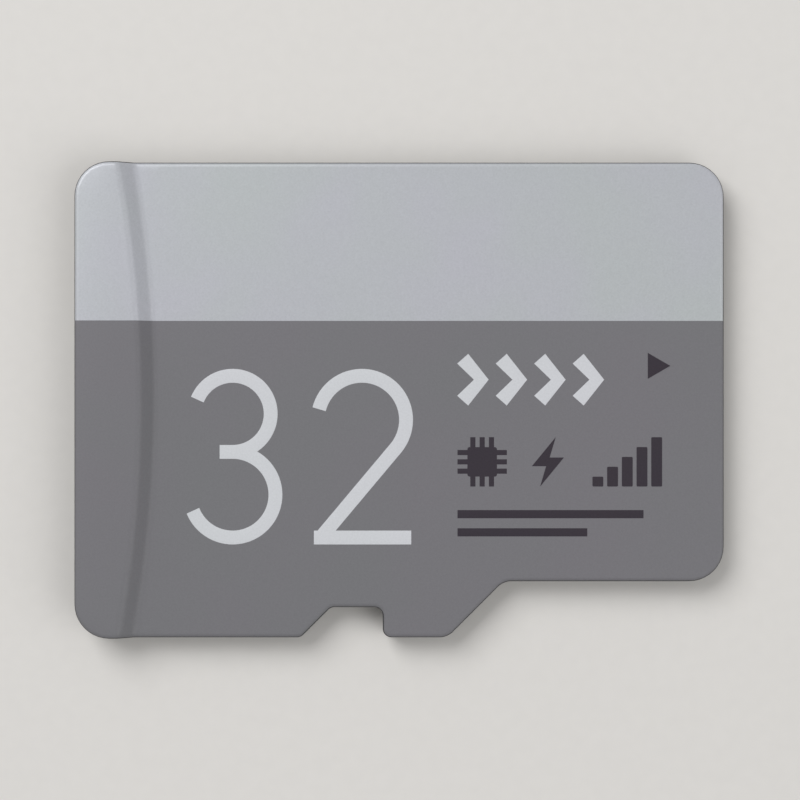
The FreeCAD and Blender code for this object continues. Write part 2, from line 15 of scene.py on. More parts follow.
import bmesh
import bpy
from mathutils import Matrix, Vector


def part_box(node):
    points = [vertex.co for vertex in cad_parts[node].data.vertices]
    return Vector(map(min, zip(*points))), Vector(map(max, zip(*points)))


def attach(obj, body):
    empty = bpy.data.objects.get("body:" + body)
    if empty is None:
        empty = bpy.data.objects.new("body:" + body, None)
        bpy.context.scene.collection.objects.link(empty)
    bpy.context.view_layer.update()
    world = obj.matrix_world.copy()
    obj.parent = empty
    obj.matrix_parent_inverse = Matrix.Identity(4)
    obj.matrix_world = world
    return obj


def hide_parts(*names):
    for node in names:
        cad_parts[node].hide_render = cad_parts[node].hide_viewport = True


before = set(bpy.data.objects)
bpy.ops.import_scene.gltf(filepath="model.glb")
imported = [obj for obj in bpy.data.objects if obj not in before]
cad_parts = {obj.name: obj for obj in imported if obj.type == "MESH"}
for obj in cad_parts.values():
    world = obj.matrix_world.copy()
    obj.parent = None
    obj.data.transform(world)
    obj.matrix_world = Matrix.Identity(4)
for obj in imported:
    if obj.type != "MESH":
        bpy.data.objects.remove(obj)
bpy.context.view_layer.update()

log = logging.getLogger("memory_card")

MM = 0.001  # one millimetre, in metres
CUT_REACH = 1e-5  # a point this near to a cut counts as on it
MERGE_REACH = 1e-4  # points this near to each other count as one
FLAT_ANGLE = math.radians(0.1)  # faces that turn by less make one flat face
SMOOTH_ANGLE = math.radians(34.0)  # edges that turn by less are shaded smooth
CORNER_STEPS = 10  # straight steps of a corner that is rounded in plan
STROKE_STEPS = 3  # Blender's bevel resolution for the rounded side of a stroke
ARC_STEP = 5.0  # degrees between two points of an arc
FACING = 0.7  # a face looks up where its normal's Z is over this, and down where it is under minus this
ALONG = (1.0, 0.0, 0.0)  # the way that the card is pushed in
ACROSS = (0.0, 1.0, 0.0)  # towards the card's plain side
UNIT = (0.0, 1.0)  # from nothing to the whole
NOISE_RANGE = (0.3, 0.7)  # where most values of a cloudy pattern lie
WAVE_TURN = 20.0  # radians that Blender's wave pattern turns by in one unit at a scale of 1

Piece = bpy.types.Object
Material = bpy.types.Material
Socket = bpy.types.NodeSocket
MeshPart = bmesh.types.BMVert | bmesh.types.BMEdge | bmesh.types.BMFace
Point = tuple[float, float]
Span = tuple[float, float]
Axes = tuple[float, float, float]
Colour = tuple[float, float, float]
Test = Callable[[Vector, Vector], bool]


class Element(Enum):
    """Kinds of mesh element that a selection can hold."""

    VERT = "VERT"
    EDGE = "EDGE"
    FACE = "FACE"


class Merge(Enum):
    """Ways to work one piece into another."""

    CUT_OUT = "DIFFERENCE"
    MELT_IN = "UNION"


class Reckoning(Enum):
    """Ways to work out one value from two."""

    ADD = "ADD"
    SUBTRACT = "SUBTRACT"
    MULTIPLY = "MULTIPLY"
    FOLD = "PINGPONG"


# Modelling by hand


def millimetres(node: str) -> tuple[Vector, Vector]:
    """Give the lowest and highest corner of one of the frame's nodes, in millimetres."""
    low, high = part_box(node)
    return Vector(low) / MM, Vector(high) / MM


def middle_y(node: str) -> float:
    """Give the Y of the middle of one of the frame's nodes, in millimetres."""
    low, high = millimetres(node)
    return (low.y + high.y) / 2


def activate(piece: Piece) -> None:
    """Make one piece the only selected object and the active one.

    Args:
        piece: the object to work on.
    """
    bpy.ops.object.select_all(action="DESELECT")
    piece.select_set(True)
    bpy.context.view_layer.objects.active = piece


@contextmanager
def editing(piece: Piece) -> Iterator[None]:
    """Hold a piece in edit mode, with nothing of it selected at the start.

    Args:
        piece: the object to edit.

    Yields:
        Nothing; the piece stays in edit mode until the block ends.
    """
    activate(piece)
    bpy.ops.object.mode_set(mode="EDIT")
    bpy.ops.mesh.select_all(action="DESELECT")
    yield
    bpy.ops.object.mode_set(mode="OBJECT")


def middle_and_normal(item: MeshPart) -> tuple[Vector, Vector]:
    """Give the middle of a mesh element and the way it faces.

    Args:
        item: a vertex, edge or face of the edited mesh.

    Returns:
        The middle point and the normal, which for an edge is the mean of its faces' normals.
    """
    if isinstance(item, bmesh.types.BMFace):
        return item.calc_center_median(), item.normal
    if isinstance(item, bmesh.types.BMVert):
        return item.co, item.normal
    ends = item.verts[0].co + item.verts[1].co
    normal = sum((side.normal for side in item.link_faces), Vector())
    return ends / 2, normal.normalized()


def pick(element: Element, test: Test) -> None:
    """Select the elements of the edited piece that pass a test, and nothing else.

    Args:
        element: the kind of element to select.
        test: called with the middle and the normal of each.
    """
    bpy.ops.mesh.select_mode(type=element.value)
    bpy.ops.mesh.select_all(action="DESELECT")
    data = bpy.context.object.data
    mesh = bmesh.from_edit_mesh(data)
    kinds = {Element.VERT: mesh.verts, Element.EDGE: mesh.edges, Element.FACE: mesh.faces}
    for item in kinds[element]:
        if test(*middle_and_normal(item)):
            item.select_set(True)
    mesh.select_flush_mode()
    bmesh.update_edit_mesh(data)


def pick_all() -> None:
    """Select the whole of the edited piece."""
    bpy.ops.mesh.select_all(action="SELECT")


def face_outwards() -> None:
    """Turn all the faces of the edited piece outwards."""
    pick_all()
    bpy.ops.mesh.normals_make_consistent(inside=False)


def cut(point: Sequence[float], normal: Sequence[float], drop: bool = False, cap: bool = False) -> None:
    """Cut the selection along a plane.

    Args:
        point: a point on the plane.
        normal: the way that the plane faces.
        drop: whether the side in front of the plane is taken away.
        cap: whether the cut is closed with a face.
    """
    bpy.ops.mesh.bisect(plane_co=point, plane_no=normal, clear_outer=drop, use_fill=cap, threshold=CUT_REACH)


def pull_up(height: float) -> None:
    """Extrude the selected faces upwards."""
    bpy.ops.mesh.extrude_region_move(TRANSFORM_OT_translate={"value": (0.0, 0.0, height)})


def round_corners(reach: float, steps: int) -> None:
    """Round the selected corner points of a flat face, from this far along its sides."""
    bpy.ops.mesh.bevel(affect="VERTICES", offset=reach, segments=steps, clamp_overlap=False)


def widen(factor: float) -> None:
    """Scale what is selected about the card's middle, in plan."""
    bpy.ops.transform.resize(value=(factor, factor, 1.0), center_override=(0.0, 0.0, 0.0))


def round_rim(radius: float, steps: int) -> None:
    """Round the rim of the selected top face by insets that rise along a quarter circle.

    Args:
        radius: the radius of the rim.
        steps: how many insets make the quarter circle.
    """
    quarter = math.pi / 2
    for step in range(steps):
        here = quarter * step / steps
        after = quarter * (step + 1) / steps
        inward = radius * (math.cos(here) - math.cos(after))
        upward = radius * (math.sin(after) - math.sin(here))
        bpy.ops.mesh.inset(thickness=inward, depth=upward, use_even_offset=True)


def settle(piece: Piece) -> None:
    """Move a piece's place, turn and scale into its mesh."""
    activate(piece)
    bpy.ops.object.transform_apply(location=True, rotation=True, scale=True)


def rectangle(name: str, low: Sequence[float], high: Sequence[float], level: float) -> Piece:
    """Add a level rectangle.

    Args:
        name: name of the new piece.
        low: its lowest X and Y.
        high: its highest X and Y.
        level: its height.

    Returns:
        The new object, with its place in its mesh.
    """
    bpy.ops.object.select_all(action="DESELECT")
    middle = ((low[0] + high[0]) / 2, (low[1] + high[1]) / 2, level)
    bpy.ops.mesh.primitive_plane_add(size=1.0, location=middle)
    piece = bpy.context.object
    piece.name = name
    piece.scale = (high[0] - low[0], high[1] - low[1], 1.0)
    settle(piece)
    return piece


def rounded_slab(
    name: str, low: Sequence[float], high: Sequence[float], levels: Span, corner: float
) -> Piece:
    """Add an upright slab with rounded corners.

    Args:
        name: name of the new piece.
        low: its lowest X and Y.
        high: its highest X and Y.
        levels: its lower and upper height.
        corner: radius of its corners in plan.

    Returns:
        The new object.
    """
    piece = rectangle(name, low, high, levels[0])
    with editing(piece):
        pick(Element.VERT, lambda place, normal: True)
        round_corners(corner, CORNER_STEPS)
        pick_all()
        pull_up(levels[1] - levels[0])
        face_outwards()
    return piece


def drawn_line(name: str, route: Sequence[Point]) -> Piece:
    """Draw a run of straight lines as a curve, without body yet.

    Args:
        name: name of the new piece.
        route: the points it follows, in X and Y.

    Returns:
        The curve, as the active object.
    """
    bpy.ops.object.select_all(action="DESELECT")
    bpy.ops.curve.primitive_nurbs_path_add()
    piece = bpy.context.object
    piece.name = name
    piece.data.splines.clear()
    spline = piece.data.splines.new("POLY")
    spline.points.add(len(route) - 1)
    for point, (x, y) in zip(spline.points, route):
        point.co = (x, y, 0.0, 1.0)
    return piece


def make_solid(piece: Piece, level: float, stretch: float) -> None:
    """Turn a curve with body into a closed mesh, scaled upwards and set on a level.

    Args:
        piece: the curve, which is the active object.
        level: height of its middle.
        stretch: how much it is scaled upwards.
    """
    bpy.ops.object.convert(target="MESH")
    piece.scale = (1.0, 1.0, stretch)
    piece.location = (0.0, 0.0, level)
    settle(piece)
    with editing(piece):
        pick_all()
        bpy.ops.mesh.remove_doubles(threshold=MERGE_REACH)
        face_outwards()


def flat_stroke(name: str, route: Sequence[Point], width: float, level: float, height: float) -> Piece:
    """Model a stroke as a tube that is pressed flat, so that its crown stands over a level.

    Args:
        name: name of the new piece.
        route: the points it follows, in X and Y.
        width: width of the stroke.
        level: height of its middle.
        height: how far its crown stands over the middle.

    Returns:
        The stroke as a closed mesh.
    """
    piece = drawn_line(name, route)
    piece.data.bevel_depth = width / 2
    piece.data.bevel_resolution = STROKE_STEPS
    piece.data.use_fill_caps = True
    make_solid(piece, level, 2.0 * height / width)
    return piece


def flat_shape(name: str, route: Sequence[Point], level: float, height: float) -> Piece:
    """Model a filled flat shape with straight sides.

    Args:
        name: name of the new piece.
        route: its corners in order, in X and Y.
        level: height of its middle.
        height: how far its face stands over the middle.

    Returns:
        The shape as a closed mesh.
    """
    piece = drawn_line(name, route)
    piece.data.splines[0].use_cyclic_u = True
    piece.data.dimensions = "2D"
    piece.data.fill_mode = "BOTH"
    piece.data.extrude = height
    make_solid(piece, level, 1.0)
    return piece


def arc(centre: Point, radius: float, start: float, end: float) -> list[Point]:
    """Give points along an arc.

    Args:
        centre: X and Y of its centre.
        radius: its radius.
        start: angle of its first point, in degrees from +X.
        end: angle of its last point.

    Returns:
        The points in order.
    """
    steps = max(2, math.ceil(abs(end - start) / ARC_STEP))
    angles = [math.radians(start + (end - start) * step / steps) for step in range(steps + 1)]
    return [(centre[0] + radius * math.cos(a), centre[1] + radius * math.sin(a)) for a in angles]


def copied(piece: Piece, name: str) -> Piece:
    """Copy a piece, with a mesh of its own.

    Args:
        piece: the object to copy.
        name: name of the copy.

    Returns:
        The copy.
    """
    activate(piece)
    bpy.ops.object.duplicate(linked=False)
    copy = bpy.context.object
    copy.name = name
    return copy


def joined(pieces: Sequence[Piece], name: str) -> Piece:
    """Join several objects into the first.

    Args:
        pieces: the objects to join.
        name: name of the joined piece.

    Returns:
        The joined object.
    """
    activate(pieces[0])
    for piece in pieces:
        piece.select_set(True)
    bpy.ops.object.join()
    pieces[0].name = name
    return pieces[0]


def modify(piece: Piece, kind: str, **settings: object) -> None:
    """Add a modifier to a piece and apply it.

    Args:
        piece: the object to change.
        kind: Blender's name for the modifier.
        settings: values of the modifier.
    """
    activate(piece)
    modifier = piece.modifiers.new(kind.lower(), kind)
    for key, value in settings.items():
        setattr(modifier, key, value)
    bpy.ops.object.modifier_apply(modifier=modifier.name)


def combine(piece: Piece, other: Piece, way: Merge) -> None:
    """Work another piece into a piece, and remove the other.

    Args:
        piece: the object that stays.
        other: the object that is used up.
        way: whether the other is cut out of it or melted into it.
    """
    modify(piece, "BOOLEAN", operation=way.value, solver="EXACT", object=other)
    bpy.data.objects.remove(other, do_unlink=True)


def fused(pieces: Sequence[Piece]) -> Piece:
    """Melt overlapping pieces into one closed skin.

    Args:
        pieces: the objects to melt together.

    Returns:
        The first of them, which holds the whole.
    """
    for piece in pieces[1:]:
        combine(pieces[0], piece, Merge.MELT_IN)
    return pieces[0]


def finish_piece(piece: Piece, slot: str, *materials: Material) -> None:
    """Bring a piece to metres, shade it, give it its materials and let it ride on the card.

    Args:
        piece: the finished model, in millimetres.
        slot: the record's material slot; not used.
        materials: the piece's materials, in the order of its slots.
    """
    piece.scale = (MM, MM, MM)
    settle(piece)
    bpy.ops.object.shade_smooth_by_angle(angle=SMOOTH_ANGLE)
    modify(piece, "WEIGHTED_NORMAL", keep_sharp=True)
    piece.data.materials.clear()
    for material in materials:
        piece.data.materials.append(material)
    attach(piece, "root")
    log.info("piece %s: %d faces", piece.name, len(piece.data.polygons))


# Finishes


class NodeBench:
    """Node tree of one material, with coordinates in millimetres of the piece itself."""

    def __init__(self, name: str) -> None:
        """Start a material with a principled shader.

        Args:
            name: name of the material.
        """
        self.material = bpy.data.materials.new(name)
        self.material.use_nodes = True
        self.tree = self.material.node_tree
        self.shader = self.tree.nodes["Principled BSDF"]
        coordinates = self.add("ShaderNodeTexCoord")
        enlarge = self.add("ShaderNodeVectorMath", operation="SCALE")
        enlarge.inputs["Scale"].default_value = 1.0 / MM
        self.link(coordinates.outputs["Object"], enlarge.inputs[0])
        self.place = enlarge.outputs["Vector"]

    def add(self, kind: str, **settings: object) -> bpy.types.Node:
        """Add a node.

        Args:
            kind: Blender's name for the node.
            settings: properties of the node.

        Returns:
            The new node.
        """
        node = self.tree.nodes.new(kind)
        for key, value in settings.items():
            setattr(node, key, value)
        return node

    def link(self, source: Socket, target: Socket) -> None:
        """Lead one socket into another."""
        self.tree.links.new(source, target)

    def feed(self, target: Socket, source: Colour | Socket) -> None:
        """Lead a socket into a colour input, or set a plain colour there.

        Args:
            target: the input.
            source: a colour or a socket.
        """
        if isinstance(source, Socket):
            self.link(source, target)
        elif len(target.default_value) == len(source):
            target.default_value = source
        else:
            target.default_value = (*source, 1.0)

    def constants(self, **values: float) -> None:
        """Set sockets of the shader, named with underscores for spaces, to one value all over."""
        for key, value in values.items():
            self.shader.inputs[key.replace("_", " ")].default_value = value

    def noise(self, per_mm: float = 1.0, detail: float = 2.0, factors: Axes = (1.0, 1.0, 1.0)) -> Socket:
        """Add a cloudy pattern.

        Args:
            per_mm: how many lumps stand in a millimetre.
            detail: how many finer layers it has.
            factors: how much finer the pattern is along each axis.

        Returns:
            The pattern's value, mostly within the usual range of noise.
        """
        stretch = self.add("ShaderNodeVectorMath", operation="MULTIPLY")
        stretch.inputs[1].default_value = factors
        self.link(self.place, stretch.inputs[0])
        node = self.add("ShaderNodeTexNoise")
        node.inputs["Scale"].default_value = per_mm
        node.inputs["Detail"].default_value = detail
        self.link(stretch.outputs["Vector"], node.inputs["Vector"])
        return node.outputs["Fac"]

    def cells(self, per_mm: float) -> bpy.types.Node:
        """Add a pattern of cells.

        Args:
            per_mm: how many stand in a millimetre.

        Returns:
            The pattern's node.
        """
        node = self.add("ShaderNodeTexVoronoi")
        node.inputs["Scale"].default_value = per_mm
        self.link(self.place, node.inputs["Vector"])
        return node

    def dots(self, per_mm: float, reach: Span, strength: float) -> Socket:
        """Add small soft dots.

        Args:
            per_mm: how many stand in a millimetre.
            reach: where a dot starts to fade and where it ends, as shares of their spacing.
            strength: the value in the middle of a dot.

        Returns:
            The value, which is 0 between the dots.
        """
        return self.span(self.cells(per_mm).outputs["Distance"], (strength, 0.0), reach)

    def span(self, value: Socket, result: Span, source: Span = NOISE_RANGE) -> Socket:
        """Spread a value over another range.

        Args:
            value: the socket to read.
            result: the range that is wanted.
            source: the range of the value.

        Returns:
            The new value.
        """
        node = self.add("ShaderNodeMapRange")
        node.inputs["From Min"].default_value, node.inputs["From Max"].default_value = source
        node.inputs["To Min"].default_value, node.inputs["To Max"].default_value = result
        self.link(value, node.inputs["Value"])
        return node.outputs["Result"]

    def reckon(self, way: Reckoning, first: Socket, second: Socket | float) -> Socket:
        """Work out one value from two.

        Args:
            way: what is done with them.
            first: the first value.
            second: the second value, a socket or a number.

        Returns:
            The result.
        """
        node = self.add("ShaderNodeMath", operation=way.value)
        self.link(first, node.inputs[0])
        if isinstance(second, Socket):
            self.link(second, node.inputs[1])
        else:
            node.inputs[1].default_value = second
        return node.outputs["Value"]

    def total(self, first: Socket, second: Socket) -> Socket:
        """Add two values."""
        return self.reckon(Reckoning.ADD, first, second)

    def shaded(self, colour: Colour | Socket, brightness: Socket) -> Socket:
        """Give a colour that is brighter or darker with a value.

        Args:
            colour: the colour at a value of 1, or a socket.
            brightness: the value to multiply it by.

        Returns:
            The colour socket.
        """
        node = self.add("ShaderNodeVectorMath", operation="SCALE")
        self.feed(node.inputs[0], colour)
        self.link(brightness, node.inputs["Scale"])
        return node.outputs["Vector"]

    def blend(self, share: Socket, first: Colour | Socket, second: Colour | Socket) -> Socket:
        """Blend two colours.

        Args:
            share: how much of the second there is, from 0 to 1.
            first: a colour or a socket.
            second: a colour or a socket.

        Returns:
            The colour socket.
        """
        node = self.add("ShaderNodeMix", data_type="RGBA")
        self.link(share, node.inputs["Factor"])
        self.feed(node.inputs["A"], first)
        self.feed(node.inputs["B"], second)
        return node.outputs["Result"]

    def paint(self, colour: Socket) -> None:
        """Use a colour as the shader's base colour."""
        self.link(colour, self.shader.inputs["Base Color"])

    def roughen(self, roughness: Socket) -> None:
        """Use a value as the shader's roughness."""
        self.link(roughness, self.shader.inputs["Roughness"])

    def emboss(self, height: Socket, depth: float) -> None:
        """Use a pattern as relief.

        Args:
            height: the pattern.
            depth: how many millimetres a value of 1 stands up.
        """
        node = self.add("ShaderNodeBump")
        node.inputs["Strength"].default_value = 1.0
        node.inputs["Distance"].default_value = depth * MM
        self.link(height, node.inputs["Height"])
        self.link(node.outputs["Normal"], self.shader.inputs["Normal"])

    def overlay(self, layers: Sequence[tuple[Socket, Socket]]) -> None:
        """Lay other shaders over the principled one and use the whole as the surface.

        Args:
            layers: each one's share, from 0 to 1, and its shader, from the lowest up.
        """
        surface = self.shader.outputs["BSDF"]
        for share, other in layers:
            either = self.add("ShaderNodeMixShader")
            self.link(share, either.inputs["Fac"])
            self.link(surface, either.inputs[1])
            self.link(other, either.inputs[2])
            surface = either.outputs["Shader"]
        self.link(surface, self.tree.nodes["Material Output"].inputs["Surface"])


@dataclass(frozen=True)
class Finish(ABC):
    """Finish of a surface, made as a procedural material."""

    name: str

    @abstractmethod
    def lay_out(self, bench: NodeBench) -> None:
        """Lay out the finish's nodes.

        Args:
            bench: the node tree to fill.
        """

    def material(self) -> Material:
        """Make the finish's material.

        Returns:
            The new material.
        """
        bench = NodeBench(self.name)
        self.lay_out(bench)
        return bench.material


@dataclass(frozen=True)
class PrintedInk(Finish):
    """Satin ink, screen printed on the moulding: fine tooth, a faint drift of colour and metal flakes."""

    colour: Colour
    drift: Colour
    roughness: float
    metallic: float = 0.0
    flake: float = 0.0
    grain_per_mm: float = 24.0
    flakes_per_mm: float = 21.0
    ripples_per_mm: float = 7.0
    clouds_per_mm: float = 0.3
    grain_shade: Span = (0.95, 1.03)
    grain_roughness: Span = (0.07, -0.05)
    tooth: float = 0.0012
    shine: float = 0.4

    def lay_out(self, bench: NodeBench) -> None:
        """Lay out the ink's nodes.

        Args:
            bench: the node tree to fill.
        """
        grain = bench.noise(self.grain_per_mm, detail=3.0)
        clouds = bench.noise(self.clouds_per_mm)
        flakes = bench.cells(self.flakes_per_mm).outputs["Color"]
        sparkle = bench.span(flakes, (-self.flake, self.flake), UNIT)
        colour = bench.blend(bench.span(clouds, UNIT), self.colour, self.drift)
        bench.paint(bench.shaded(colour, bench.total(bench.span(grain, self.grain_shade), sparkle)))
        matt, glossy = (self.roughness + change for change in self.grain_roughness)
        bench.roughen(bench.span(grain, (matt, glossy)))
        bench.emboss(bench.total(grain, bench.noise(self.ripples_per_mm)), self.tooth)
        bench.constants(Metallic=self.metallic, Specular_IOR_Level=self.shine)


@dataclass(frozen=True)
class MouldingCompound(Finish):
    """Black epoxy moulding compound: matte skin, pale specks of filler and upright saw marks."""

    name: str = "moulding_compound"
    colour: Colour = (0.024, 0.024, 0.026)
    speck: Colour = (0.12, 0.12, 0.12)
    skin_per_mm: float = 19.0
    specks_per_mm: float = 26.0
    speck_reach: Span = (0.05, 0.17)
    speck_strength: float = 0.7
    saw_marks: Axes = (16.0, 16.0, 0.9)
    skin_shade: Span = (0.72, 1.2)
    mark_shade: Span = (-0.16, 0.2)
    skin_roughness: Span = (0.52, 0.68)
    mark_roughness: Span = (-0.05, 0.06)
    skin_relief: Span = (0.0, 0.5)
    depth: float = 0.004
    shine: float = 0.42

    def lay_out(self, bench: NodeBench) -> None:
        """Lay out the compound's nodes.

        Args:
            bench: the node tree to fill.
        """
        skin = bench.noise(self.skin_per_mm, detail=4.0)
        marks = bench.noise(detail=3.0, factors=self.saw_marks)
        filler = bench.dots(self.specks_per_mm, self.speck_reach, self.speck_strength)
        shade = bench.total(bench.span(skin, self.skin_shade), bench.span(marks, self.mark_shade))
        bench.paint(bench.blend(filler, bench.shaded(self.colour, shade), self.speck))
        roughness = bench.span(skin, self.skin_roughness)
        bench.roughen(bench.total(roughness, bench.span(marks, self.mark_roughness)))
        bench.emboss(bench.total(bench.span(skin, self.skin_relief), marks), self.depth)
        bench.constants(Specular_IOR_Level=self.shine)


@dataclass(frozen=True)
class SolderMask(Finish):
    """Black solder mask: satin lacquer with a soft orange peel and a few dust specks."""

    name: str = "solder_mask"
    colour: Colour = (0.011, 0.0135, 0.0145)
    speck: Colour = (0.05, 0.055, 0.055)
    peel_per_mm: float = 5.0
    grain_per_mm: float = 30.0
    clouds_per_mm: float = 0.6
    dust_per_mm: float = 3.5
    dust_reach: Span = (0.03, 0.075)
    dust_strength: float = 0.6
    cloud_shade: Span = (0.8, 1.15)
    grain_shade: Span = (-0.08, 0.08)
    cloud_roughness: Span = (0.27, 0.34)
    grain_roughness: Span = (-0.03, 0.04)
    grain_relief: Span = (0.0, 0.25)
    depth: float = 0.0035
    lacquer: float = 0.2
    lacquer_roughness: float = 0.22

    def lay_out(self, bench: NodeBench) -> None:
        """Lay out the mask's nodes.

        Args:
            bench: the node tree to fill.
        """
        peel = bench.noise(self.peel_per_mm, detail=1.0)
        grain = bench.noise(self.grain_per_mm)
        clouds = bench.noise(self.clouds_per_mm, detail=3.0)
        dust = bench.dots(self.dust_per_mm, self.dust_reach, self.dust_strength)
        shade = bench.total(bench.span(clouds, self.cloud_shade), bench.span(grain, self.grain_shade))
        bench.paint(bench.blend(dust, bench.shaded(self.colour, shade), self.speck))
        roughness = bench.span(clouds, self.cloud_roughness)
        bench.roughen(bench.total(roughness, bench.span(grain, self.grain_roughness)))
        bench.emboss(bench.total(peel, bench.span(grain, self.grain_relief)), self.depth)
        bench.constants(Coat_Weight=self.lacquer, Coat_Roughness=self.lacquer_roughness)


@dataclass(frozen=True)
class LaminateEdge(Finish):
    """Sawn edge of the board: dark resin with paler lines of glass cloth along it."""

    name: str = "laminate_edge"
    resin: Colour = (0.030, 0.026, 0.018)
    glass: Colour = (0.105, 0.094, 0.066)
    plies_per_mm: float = 11.0
    ply_waver: float = 1.4
    ply_waver_scale: float = 3.0
    ply_band: Span = (0.45, 0.95)
    ply_share: Span = (0.0, 0.9)
    fibres: Axes = (3.0, 3.0, 60.0)
    fibre_share: Span = (0.25, 1.0)
    roughness: Span = (0.62, 0.5)
    depth: float = 0.003
    shine: float = 0.4

    def lay_out(self, bench: NodeBench) -> None:
        """Lay out the edge's nodes.

        Args:
            bench: the node tree to fill.
        """
        plies = bench.add("ShaderNodeTexWave", bands_direction="Z")
        plies.inputs["Scale"].default_value = self.plies_per_mm * math.tau / WAVE_TURN
        plies.inputs["Distortion"].default_value = self.ply_waver
        plies.inputs["Detail Scale"].default_value = self.ply_waver_scale
        bench.link(bench.place, plies.inputs["Vector"])
        fibres = bench.noise(detail=3.0, factors=self.fibres)
        lines = bench.span(plies.outputs["Fac"], self.ply_share, self.ply_band)
        share = bench.reckon(Reckoning.MULTIPLY, lines, bench.span(fibres, self.fibre_share))
        bench.paint(bench.blend(share, self.resin, self.glass))
        bench.roughen(bench.span(fibres, self.roughness))
        bench.emboss(fibres, self.depth)
        bench.constants(Specular_IOR_Level=self.shine)


@dataclass(frozen=True)
class GoldPlate(Finish):
    """Hard gold plating: fine brush lines along the card, small probe marks and soft colour clouds."""

    name: str = "gold_plate"
    pale: Colour = (0.93, 0.70, 0.34)
    deep: Colour = (0.80, 0.53, 0.20)
    brush: Axes = (1.6, 34.0, 1.0)
    clouds_per_mm: float = 1.7
    cloud_share: Span = (0.0, 0.6)
    probes_per_mm: float = 1.5
    probe_reach: Span = (0.02, 0.07)
    probe_dent: float = -1.2
    brush_roughness: Span = (0.19, 0.34)
    cloud_roughness: Span = (-0.03, 0.05)
    depth: float = 0.0012

    def lay_out(self, bench: NodeBench) -> None:
        """Lay out the plating's nodes.

        Args:
            bench: the node tree to fill.
        """
        lines = bench.noise(detail=4.0, factors=self.brush)
        clouds = bench.noise(self.clouds_per_mm, detail=3.0)
        probes = bench.dots(self.probes_per_mm, self.probe_reach, self.probe_dent)
        bench.paint(bench.blend(bench.span(clouds, self.cloud_share), self.pale, self.deep))
        roughness = bench.span(lines, self.brush_roughness)
        bench.roughen(bench.total(roughness, bench.span(clouds, self.cloud_roughness)))
        bench.emboss(bench.total(lines, probes), self.depth)
        bench.constants(Metallic=1.0)


@dataclass(frozen=True)
class GroundSilicon(Finish):
    """Back-ground silicon die: dark blue grey metal sheen with fine parallel grinding arcs."""

    name: str = "ground_silicon"
    light: Colour = (0.20, 0.21, 0.235)
    dark: Colour = (0.12, 0.125, 0.15)
    grinding: Axes = (30.0, 2.2, 1.0)
    clouds_per_mm: float = 0.8
    shade_band: Span = (0.7, 1.3)
    roughness: Span = (0.22, 0.38)
    depth: float = 0.0008
    metallic: float = 0.8

    def lay_out(self, bench: NodeBench) -> None:
        """Lay out the silicon's nodes.

        Args:
            bench: the node tree to fill.
        """
        lines = bench.noise(detail=3.0, factors=self.grinding)
        pattern = bench.total(lines, bench.noise(self.clouds_per_mm))
        bench.paint(bench.blend(bench.span(pattern, UNIT, self.shade_band), self.dark, self.light))
        bench.roughen(bench.span(lines, self.roughness))
        bench.emboss(lines, self.depth)
        bench.constants(Metallic=self.metallic)


@dataclass(frozen=True)
class AdhesiveFilm(Finish):
    """Amber adhesive film under a die: smooth resin with soft clouds and a few fine bubbles."""

    name: str = "amber_film"
    light: Colour = (0.26, 0.165, 0.060)
    dark: Colour = (0.155, 0.092, 0.032)
    clouds_per_mm: float = 1.2
    bubbles_per_mm: float = 4.0
    bubble_reach: Span = (0.03, 0.09)
    roughness: Span = (0.28, 0.40)
    depth: float = 0.001

    def lay_out(self, bench: NodeBench) -> None:
        """Lay out the film's nodes.

        Args:
            bench: the node tree to fill.
        """
        clouds = bench.noise(self.clouds_per_mm, detail=3.0)
        bench.paint(bench.blend(bench.span(clouds, UNIT), self.dark, self.light))
        bench.roughen(bench.span(clouds, self.roughness))
        bench.emboss(bench.dots(self.bubbles_per_mm, self.bubble_reach, strength=1.0), self.depth)


@dataclass(frozen=True)
class FiredCeramic(Finish):
    """Fired ceramic of a row of chip parts that lie across the card, with tinned caps at their ends."""

    body: Colour
    first_middle: float
    pitch: float
    cap_edge: Span = (0.145, 0.155)
    tin: Colour = (0.62, 0.61, 0.58)
    grain_per_mm: float = 34.0
    clouds_per_mm: float = 6.0
    grain_shade: Span = (0.8, 1.1)
    cloud_shade: Span = (-0.1, 0.1)
    tin_shade: Span = (0.9, 1.05)
    roughness: Span = (0.40, 0.60)
    depth: float = 0.002

    def lay_out(self, bench: NodeBench) -> None:
        """Lay out the chip's nodes.

        Args:
            bench: the node tree to fill.
        """
        grain = bench.noise(self.grain_per_mm, detail=3.0)
        clouds = bench.noise(self.clouds_per_mm)
        axes = bench.add("ShaderNodeSeparateXYZ")
        bench.link(bench.place, axes.inputs["Vector"])
        from_first = bench.reckon(Reckoning.SUBTRACT, axes.outputs["Y"], self.first_middle)
        from_middle = bench.reckon(Reckoning.FOLD, from_first, self.pitch / 2)
        cap = bench.span(from_middle, UNIT, self.cap_edge)
        shade = bench.total(bench.span(grain, self.grain_shade), bench.span(clouds, self.cloud_shade))
        plated = bench.shaded(self.tin, bench.span(grain, self.tin_shade))
        bench.paint(bench.blend(cap, bench.shaded(self.body, shade), plated))
        bench.link(cap, bench.shader.inputs["Metallic"])
        bench.roughen(bench.span(grain, self.roughness))
        bench.emboss(grain, self.depth)


